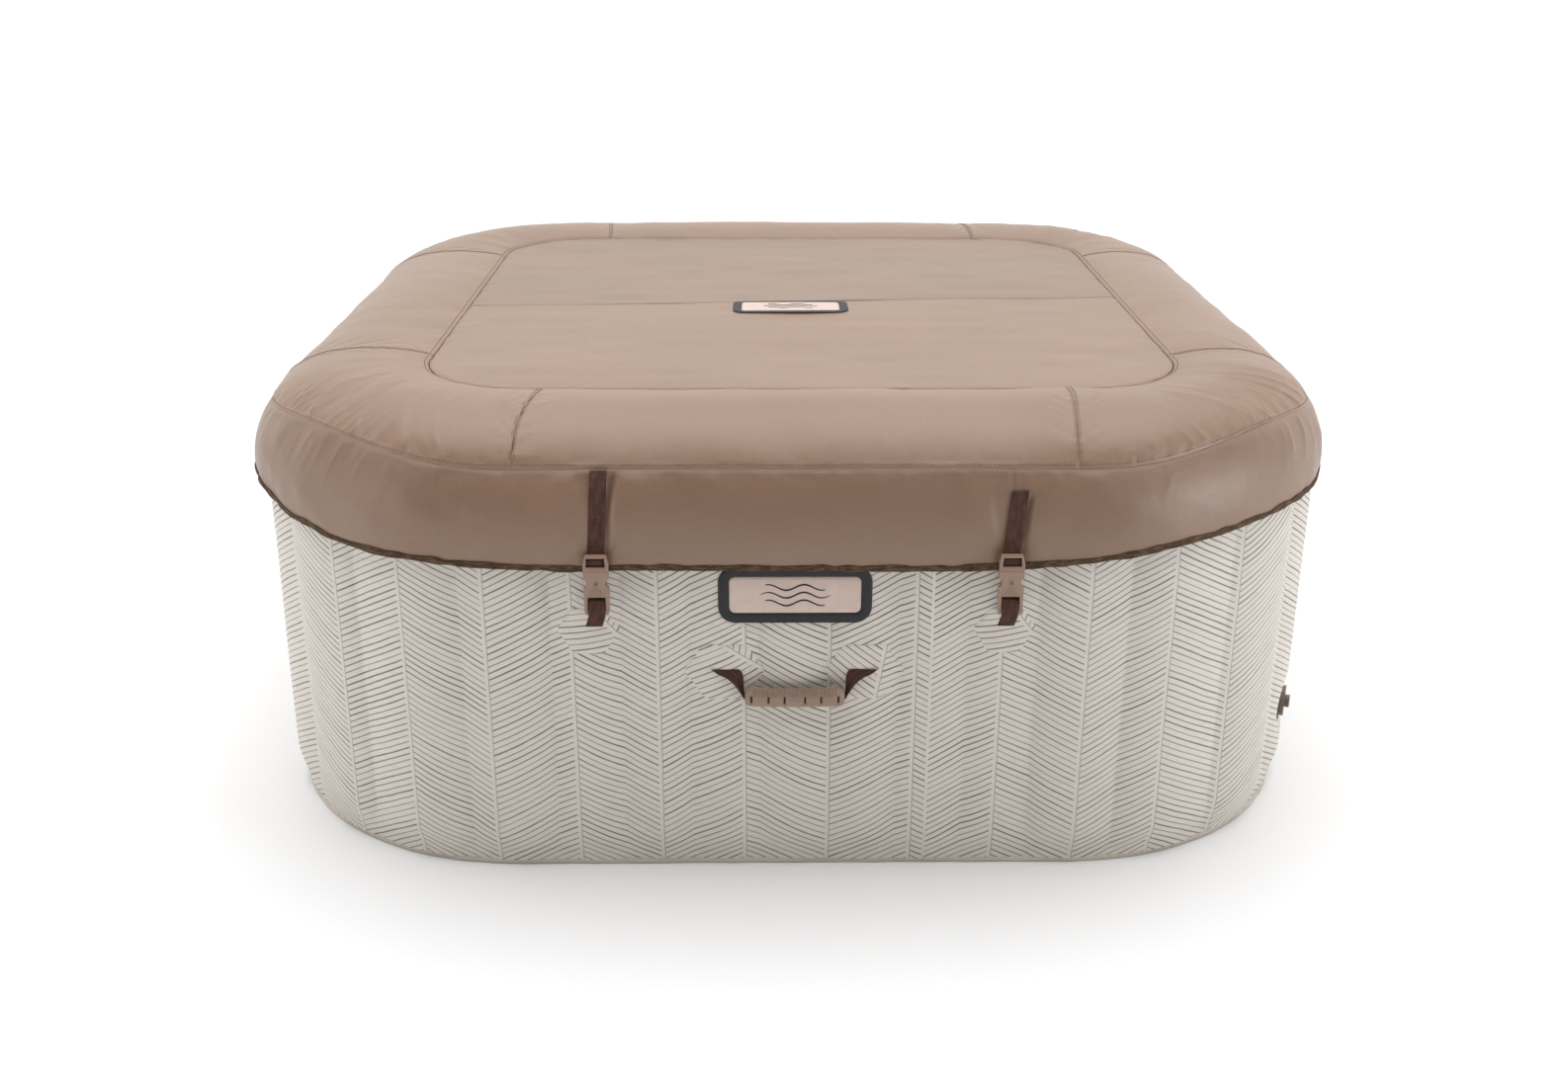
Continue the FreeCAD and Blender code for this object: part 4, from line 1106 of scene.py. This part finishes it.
# ------------------------------------------------------------------ straps
# Each strap's route on the front, as distance out and height, round its buckle's bar.
UPPER_STRAP = [(0.8735, 0.6665), (0.8815, 0.655), (0.8905, 0.620), (0.8965, 0.580), (0.9005, 0.556),
               (0.9036, 0.546), (0.9036, 0.5345), (0.9048, 0.5325), (0.9120, 0.5325), (0.9138, 0.5345),
               (0.9138, 0.5420), (0.9120, 0.5436), (0.9062, 0.5436)]
LOWER_STRAP = [(0.8735, 0.436), (0.8790, 0.440), (0.8915, 0.446), (0.9038, 0.456), (0.9038, 0.4768),
               (0.9055, 0.4790), (0.9120, 0.4790), (0.9138, 0.4765), (0.9150, 0.4720), (0.9184, 0.4640),
               (0.9186, 0.4560), (0.9176, 0.4480), (0.9168, 0.4360)]
SHORT_STRAP_TOP = 0.64                     # the second cover strap starts at this height
STRAP_LEANS = {"a": 0.005, "b": 0.012}     # sideways, for each 0.1 m up the skirt


def ribbon(path):
    """Distance along a strap, distance out and height, with its bends rounded."""
    pts = np.array(path)
    for _ in range(2):
        cut = np.empty((2 * len(pts) - 2, 2))
        cut[0::2] = 0.78 * pts[:-1] + 0.22 * pts[1:]
        cut[1::2] = 0.22 * pts[:-1] + 0.78 * pts[1:]
        pts = np.concatenate([pts[:1], cut, pts[-1:]])
    run = np.concatenate([[0], np.cumsum(np.hypot(*np.diff(pts, axis=0).T))])
    at = np.arange(0, run[-1], 0.0022)
    return at, np.interp(at, run, pts[:, 0]), np.interp(at, run, pts[:, 1])


def strap_points(path, place, lean, top):
    """A strap's middle surface below the height top; a wall strap's loose tail hangs askew."""
    run, out, z = ribbon(path)
    keep = z <= top
    run, out, z = run[keep], out[keep], z[keep]
    across = np.linspace(-STRAP_WIDTH / 2, STRAP_WIDTH / 2, 9)
    above = np.clip((z - 0.548) / 0.1, 0, None)
    tail = np.clip((0.455 - z) / 0.035, 0, None) * (out > 0.905)
    x = place + across[:, None] + (lean * above - 0.010 * tail)[None, :]
    wave = 0.0005 * lattice_noise(across[:, None] * 60, run[None, :] * 25, int(abs(place) * 1000))
    points = np.stack([x, -(out[None, :] + wave), z[None, :] + 0 * x], axis=-1)
    return points, across[:, None], run[None, :]


def make_straps():
    for tag, path, body in (("cover_strap", UPPER_STRAP, "cover"), ("wall_strap", LOWER_STRAP, "tub")):
        for letter, place, top in (("a", BUCKLE_A, math.inf), ("b", BUCKLE_B, SHORT_STRAP_TOP)):
            points, u, v = strap_points(path, place, STRAP_LEANS[letter], top)
            for side, turned in turned_copies(points):
                piece = grid_piece("%s_%s_%s" % (tag, side, letter), turned, u, v, MATERIALS["webbing"],
                                   body)
                thicken(piece, 0.0015, 0.0)
    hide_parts("cover_straps")
    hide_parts("wall_straps")


# ------------------------------------------------------------------ handles
GRIP_MID = node_middle("handle_front_grip")
GRIP_LIFT = 0.0085                         # the worn grip rides this far above its CAD middle
GRIP_HALF, GRIP_RADIUS = 0.076, 0.0142
GRIP_SLOTS = (-0.066, -0.040, -0.0155, 0.0155, 0.040, 0.066)
RIB_PITCH, RIB_DEPTH, SLOT_DEPTH = 0.0041, 0.0017, 0.0060
WEB_ROOT = 0.0088                          # the webbing leaves the wall this far out


def grip_place(x, angle, radius):
    """A point on the grip: angle 0 faces outward, and the bar smiles a little."""
    smile = 0.0020 * (x / GRIP_HALF) ** 2 + GRIP_LIFT
    y = GRIP_MID[1] - radius * np.cos(angle) * 0.95
    z = GRIP_MID[2] + radius * np.sin(angle) * 1.04 + smile
    return np.stack(np.broadcast_arrays(x + 0 * angle, y, z), axis=-1)


def slot_shade_sheet(place):
    """A black sheet set inside one slot of the grip: painted shade for the slot's depth."""
    x = place + np.linspace(-0.0014, 0.0014, 5)[:, None]
    angle = np.radians(np.linspace(-26, 28, 12))[None, :]
    return grip_place(x, angle, GRIP_RADIUS - 0.0024 + 0 * x), x, angle * GRIP_RADIUS


def grip_points():
    """Moulded grip: rounded bar that smiles a little, ribbed above and slotted below."""
    x = np.linspace(-GRIP_HALF, GRIP_HALF, 460)[:, None]
    angle = np.linspace(0, 2 * math.pi, 73)[None, :]
    from_end = GRIP_HALF - np.abs(x)
    end = np.clip(from_end / 0.008, 0, 1)
    radius = GRIP_RADIUS * (0.50 + 0.50 * np.sqrt(1 - (1 - end) ** 2)) + 0 * angle
    up = np.sin(angle)
    rib = (0.5 + 0.5 * np.cos(x / RIB_PITCH * 2 * math.pi)) ** 2
    ribs = rib * smooth(up, 0.44, 0.52) * (1 - smooth(up, 0.93, 0.98)) * smooth(from_end, 0.010, 0.014)
    radius -= RIB_DEPTH * ribs
    facing = smooth(np.cos(angle), 0.2, 0.6) * smooth(-up, -0.46, -0.38) * smooth(up, -0.42, -0.34)
    for place in GRIP_SLOTS:
        slot = np.exp(-((x - place) / 0.0015) ** 4)
        radius -= SLOT_DEPTH * slot * facing
    return grip_place(x, angle, radius), x, angle * GRIP_RADIUS


def end_disc(ring):
    """A fan of triangles that closes a ring of points."""
    n = len(ring)
    verts = np.concatenate([ring, ring.mean(axis=0)[None]])
    faces = [[i, (i + 1) % n, n] for i in range(n)]
    return verts, np.array(faces)


def wing_points(sign):
    """Webbing from its flat welded end down to the grip, folding to a cord-like roll."""
    t = np.linspace(0, 1, 40)[:, None]
    w = np.linspace(-1, 1, 17)[None, :]
    foot_u = 0.0765
    gather = smooth(t, 0.0, 0.9)
    width = 0.0205 * (1 - gather) + 0.0065 * gather
    centre_u = ANCHOR_U + (foot_u - ANCHOR_U) * t ** 0.8
    centre_z = ANCHOR_Z + (GRIP_MID[2] + GRIP_LIFT - ANCHOR_Z) * (t ** 1.15)
    tilt = 0.95 * smooth(t, 0.15, 1.0)
    u = centre_u + w * width * np.cos(tilt)
    z = centre_z + w * width * np.sin(tilt) * 0.9
    fold = 0.004 * gather * np.cos(w * 4.2) + 0.002 * np.sin(t * 9) * w
    out = TUB_HALF + WEB_ROOT + (-GRIP_MID[1] - TUB_HALF - WEB_ROOT) * smooth(t, 0, 1) + fold
    return np.stack([sign * u, -out + 0 * w, z], axis=-1), w * 0.02 + 0 * t, t * 0.07 + 0 * w


def make_grips():
    grip, gu, gv = grip_points()
    for side, turned in turned_copies(grip, HANDLE_SIDES):
        body = "handle_%s" % side
        piece = grid_piece("grip_%s" % side, turned, gu, gv, MATERIALS["grip"], body)
        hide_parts("handle_%s_grip" % side)
        for tag, row, step in (("a", turned[0, :-1], -1), ("b", turned[-1, :-1], 1)):
            verts, faces = end_disc(row)
            mesh_piece("grip_end_%s_%s" % (side, tag), verts, faces[:, ::step], MATERIALS["grip"], body)
    # painted shade: black sheets inside the grip's slots
    for number, place in enumerate(GRIP_SLOTS):
        floor, fu, fv = slot_shade_sheet(place)
        for side, turned in turned_copies(floor, HANDLE_SIDES):
            grid_piece("grip_slot_%s_%d" % (side, number), turned, fu, fv, MATERIALS["rubber"],
                       "handle_%s" % side)


def make_handle_webs():
    """The handles' webbing, which is welded to the wall and runs down to the grip."""
    blend_heights = (ANCHOR_Z - 0.004, GRIP_MID[2] + 0.014)
    for tag, sign in (("left", -1), ("right", 1)):
        wing, wu, wv = wing_points(sign)
        ends = np.array([[[sign * ANCHOR_U, -TUB_HALF, z]] for z in blend_heights])
        turned_ends = dict(turned_copies(ends, HANDLE_SIDES))
        for side, turned in turned_copies(wing, HANDLE_SIDES):
            piece = grid_piece("handle_web_%s_%s" % (side, tag), turned, wu, wv, MATERIALS["webbing"],
                               None)
            thicken(piece, 0.0018, 0.0)
            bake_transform(piece)
            if tag == "left":
                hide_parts("handle_%s_webbing" % side)


# ------------------------------------------------------------------ badges
def rounded_rectangle(width, height, radius, steps=12):
    """Outline points of a rounded rectangle, counter-clockwise."""
    points = []
    for k, (sx, sy) in enumerate(((1, 1), (-1, 1), (-1, -1), (1, -1))):
        for a in np.linspace(0, math.pi / 2, steps):
            angle = a + k * math.pi / 2
            points.append((sx * (width / 2 - radius) + radius * math.cos(angle),
                           sy * (height / 2 - radius) + radius * math.sin(angle)))
    return np.array(points)


def plate_rings(width, height, radius, profile):
    """A plate built from offsets of a rounded rectangle; profile is (inset, height) pairs."""
    rings = []
    for inset, lift in profile:
        ring = rounded_rectangle(width - 2 * inset, height - 2 * inset, max(radius - inset, 0.003))
        rings.append(np.column_stack([ring, np.full(len(ring), lift)]))
    return np.stack(rings, axis=1)


# A badge's section from its edge in, as pairs of inset and height over its base plane.
RIM_PROFILE = [(0, -0.006), (0, 0), (0.0006, 0.0016), (0.003, 0.0024), (0.014, 0.0024), (0.0165, 0.0016),
               (0.0170, 0.0008)]
FIELD_PROFILE = [(0.0165, 0.0008), (0.0180, 0.0019), (0.022, 0.0022)]
BADGE_RADIUS = 0.026
WALL_BADGE_OUT, COVER_BADGE_UP = 0.0064, 0.0003


def badge_parts(width, height):
    """Each piece's ending with its points and faces, flat in the plane z = 0."""
    rim = plate_rings(width, height, BADGE_RADIUS, RIM_PROFILE)
    field = plate_rings(width, height, BADGE_RADIUS, FIELD_PROFILE)
    n, m = field.shape[:2]
    verts = np.concatenate([field.reshape(-1, 3), [[0, 0, FIELD_PROFILE[-1][1]]]])
    fan_faces = [[i * m + m - 1, ((i + 1) % n) * m + m - 1, n * m] for i in range(n)]
    return {"rim": (rim.reshape(-1, 3), grid_faces(*rim.shape[:2], True)),
            "field": (verts, grid_faces(n, m, True)),
            "field_top": (verts, fan_faces),
            "waves": wave_mark(width * 0.46)}


def wave_mark(width, rows=3):
    """Plain water ripples: a few raised wavy bars."""
    out = []
    for k in range(rows):
        x = np.linspace(-width / 2, width / 2, 60) * (1 - 0.16 * abs(k - 1))
        y = 0.0045 * np.sin(x / width * 4 * math.pi) + (k - 1) * 0.0125
        thick = 0.0019 * np.sqrt(np.clip(1 - (x / (width / 2)) ** 2, 0.02, 1))
        low = np.column_stack([x, y - thick, np.full_like(x, 0.0020)])
        high = np.column_stack([x, y + thick, np.full_like(x, 0.0020)])
        top = np.column_stack([x, y, np.full_like(x, 0.0031)])
        out.append((np.stack([low, top, high], axis=1).reshape(-1, 3), grid_faces(60, 3, False)))
    return merged(out)


def make_badge(node, width, height, carry, body):
    for ending, (verts, faces) in badge_parts(width, height).items():
        material = MATERIALS["badge_field" if ending.startswith("field") else "badge_rim"]
        piece = mesh_piece("%s_%s" % (node, ending), carry(verts), faces, material, body)
        if ending == "rim":
            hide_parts(node)


def make_badges():
    low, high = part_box("wall_badge")
    middle = (low[2] + high[2]) / 2

    def on_wall(v):
        return ring_point(v[:, 0], TUB_HALF + WALL_BADGE_OUT + v[:, 2], v[:, 1] + middle)

    make_badge("wall_badge", high[0] - low[0], high[2] - low[2], on_wall, "tub")
    low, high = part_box("cover_badge")
    cx, cy = (low[0] + high[0]) / 2, (low[1] + high[1]) / 2

    def on_cover(v):
        x, y = v[:, 0] + cx, v[:, 1] + cy
        z = panel_height(x - PANEL_SHIFT[0], y - PANEL_SHIFT[1], True)
        return np.column_stack([x, y, z + v[:, 2] + COVER_BADGE_UP])

    make_badge("cover_badge", high[0] - low[0], high[1] - low[1], on_cover, "cover")


# ------------------------------------------------------------------ inside of the cover
def make_lining():
    """The lining sags a little between its edges, under the bladder."""
    low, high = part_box("cover_lining")
    half = high[0]
    n = 90
    x = np.linspace(-half, half, n)[:, None]
    y = reach_at(x, half) * np.linspace(-1, 1, n)[None, :]
    reach = np.clip((half - CORNER - np.hypot(np.clip(np.abs(x) - CORNER, 0, None),
                                               np.clip(np.abs(y) - CORNER, 0, None))) / 0.2, 0, 1)
    z = low[2] + 0.002 + 0.003 * lattice_noise(x * 9 + 20, y * 9 + 20, 91) * reach
    points = np.stack([x + 0 * y, y, z + 0 * x * y], axis=-1)
    lining = grid_piece("lining_sheet", points, x, y, MATERIALS["film"], "cover", flip=True)
    thicken(lining, 0.0008)
    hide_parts("cover_lining")


BLADDER_GAP = 0.004                        # the air cushion keeps this far inside its CAD solid
DIMPLE_PITCH = 0.15


def make_bladder():
    """Air cushion inside the cover: a rounded slab with welded dimples, swollen by pressure."""
    low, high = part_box("cover_bladder")
    n = 110
    half = high[0] - BLADDER_GAP
    g = np.linspace(-1, 1, n)
    bent = np.sign(g) * (1 - (1 - np.abs(g)) ** 1.6)
    x = (bent * half)[:, None]
    y = reach_at(x, half) * bent[None, :]
    d = np.clip(inside_distance(x, y, half), 0, None)
    mid, tall = (low[2] + high[2]) / 2, (high[2] - low[2]) / 2 - BLADDER_GAP
    swell = np.sqrt(np.clip(1 - (1 - np.clip(d / 0.05, 0, 1)) ** 2, 0, 1))
    cell = np.sin(x * math.pi / DIMPLE_PITCH) ** 2 * np.sin(y * math.pi / DIMPLE_PITCH) ** 2
    rise = tall * swell * (0.90 + 0.10 * cell)
    top = np.stack([x + 0 * y, y, mid + rise], axis=-1)
    under = np.stack([x + 0 * y, y, mid - rise], axis=-1)
    loop = np.concatenate([top, under[:, ::-1]], axis=1).swapaxes(0, 1)
    piece = grid_piece("bladder", loop, loop[..., 0], loop[..., 1], MATERIALS["film"], "cover",
                       wrap=True, flip=True)
    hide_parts("cover_bladder")


# ------------------------------------------------------------------ CAD nodes that stay
KEPT = {
    "buckle_sockets": "buckle", "buckle_plugs": "buckle", "suction_port": "port", "return_port": "port",
    "air_port": "port", "suction_strainer": "port", "return_strainer": "port", "port_seals": "rubber",
    "air_valve_body": "valve", "drain_valve_body": "valve", "air_feed_hose": "valve",
    "air_valve_cap": "cap", "drain_valve_cap": "cap", "drain_plug": "cap", "floor_sheet": "ground",
    "air_jet_channel": "liner", "zipper_tape": "binding", "zipper_slider": "metal",
}


def repaint(node, material):
    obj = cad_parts[node]
    obj.data.materials.clear()
    obj.data.materials.append(material)


def soften(obj, width):
    """Rounds the crisp edges of a moulded part a little."""
    mod = obj.modifiers.new("soft_edges", "BEVEL")
    mod.width = width
    mod.segments = 2
    mod.limit_method = "ANGLE"
    mod.angle_limit = math.radians(40)


def dress_nodes():
    for node, key in KEPT.items():
        repaint(node, MATERIALS[key])
    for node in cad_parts:
        if node.startswith("prong_"):
            repaint(node, MATERIALS["buckle"])
    for node in ("buckle_sockets", "buckle_plugs"):
        soften(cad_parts[node], 0.0009)


# ------------------------------------------------------------------ stage, light and camera
def make_stage():
    mesh = bpy.data.meshes.new("ground")
    reach, drop = 60, 0.0005
    corners = [(a * reach, b * reach, -drop) for a, b in ((-1, -1), (1, -1), (1, 1), (-1, 1))]
    mesh.from_pydata(corners, [], [(0, 1, 2, 3)])
    g = Graph("studio_floor")
    mesh.materials.append(g.finish((0.90, 0.90, 0.905), 0.9))
    link(bpy.data.objects.new("ground", mesh))


def area_light(name, place, target, size, power):
    light = bpy.data.lights.new(name, "AREA")
    light.shape = "RECTANGLE"
    light.size, light.size_y = size
    light.energy = power
    obj = link(bpy.data.objects.new(name, light))
    obj.location = place
    obj.rotation_euler = (Vector(target) - Vector(place)).to_track_quat("-Z", "Y").to_euler()
    return obj


def make_world():
    """A white studio wall behind the tub and a dim room in front of it; the backdrop itself shows white."""
    world = bpy.data.worlds.new("studio")
    bpy.context.scene.world = world
    world.use_nodes = True
    tree = world.node_tree
    place = tree.nodes.new("ShaderNodeTexCoord")
    split = tree.nodes.new("ShaderNodeSeparateXYZ")
    fade = tree.nodes.new("ShaderNodeMapRange")
    tree.links.new(place.outputs["Generated"], split.inputs[0])
    tree.links.new(split.outputs["Y"], fade.inputs["Value"])
    for key, value in (("From Min", -0.30), ("From Max", 0.35), ("To Min", 0.03), ("To Max", 1.1)):
        fade.inputs[key].default_value = value
    seen = tree.nodes.new("ShaderNodeLightPath")
    strength = tree.nodes.new("ShaderNodeMath")
    strength.operation = "MAXIMUM"
    tree.links.new(fade.outputs["Result"], strength.inputs[0])
    tree.links.new(seen.outputs["Is Camera Ray"], strength.inputs[1])
    background = tree.nodes["Background"]
    background.inputs["Color"].default_value = (1.0, 1.0, 1.0, 1)
    tree.links.new(strength.outputs[0], background.inputs["Strength"])


def make_lights():
    make_world()
    sun = bpy.data.lights.new("overhead_dome", "SUN")
    sun.energy = 2.3
    sun.angle = math.radians(75)
    link(bpy.data.objects.new("overhead_dome", sun)).location = (0, 0, 4)
    area_light("left_side", (-3.3, -1.9, 1.2), (0, -0.3, 0.4), (1.2, 1.8), 13)
    area_light("right_side", (3.4, -1.8, 1.1), (0, -0.3, 0.4), (1.2, 1.8), 20)
    glint = area_light("right_glint", (2.95, -2.55, 1.12), (0.6, -0.85, 0.6), (0.22, 0.6), 31)
    glint.visible_diffuse = False


# The camera that fits the outline of the tub in the photograph; its angles are in radians.
CAMERA_PLACE = (-0.04824, -3.11684, 1.43074)
CAMERA_PITCH, CAMERA_YAW, CAMERA_ROLL = 0.37389, 0.014, 0.00343


def make_camera():
    camera = bpy.data.cameras.new("camera")
    camera.sensor_width = 36.0
    camera.lens = 37.33
    camera.clip_end = 100
    obj = link(bpy.data.objects.new("camera", camera))
    turn = Matrix.Rotation(-CAMERA_YAW, 4, "Z") @ Matrix.Rotation(math.pi / 2 - CAMERA_PITCH, 4, "X")
    obj.matrix_world = Matrix.Translation(CAMERA_PLACE) @ turn @ Matrix.Rotation(CAMERA_ROLL, 4, "Z")
    bpy.context.scene.camera = obj


# ------------------------------------------------------------------ build
simulate_cover()
make_wall()
make_rim()
make_liner()
make_webs()
make_welt()
make_wall_seam()
make_patches()
make_border_panels()
make_centre_panels()
make_hem(make_skirt())
make_stitching()
make_straps()
make_grips()
make_handle_webs()
make_badges()
make_bladder()
make_lining()
dress_nodes()
make_stage()
make_lights()
make_camera()
bpy.context.scene.view_settings.view_transform = "Standard"
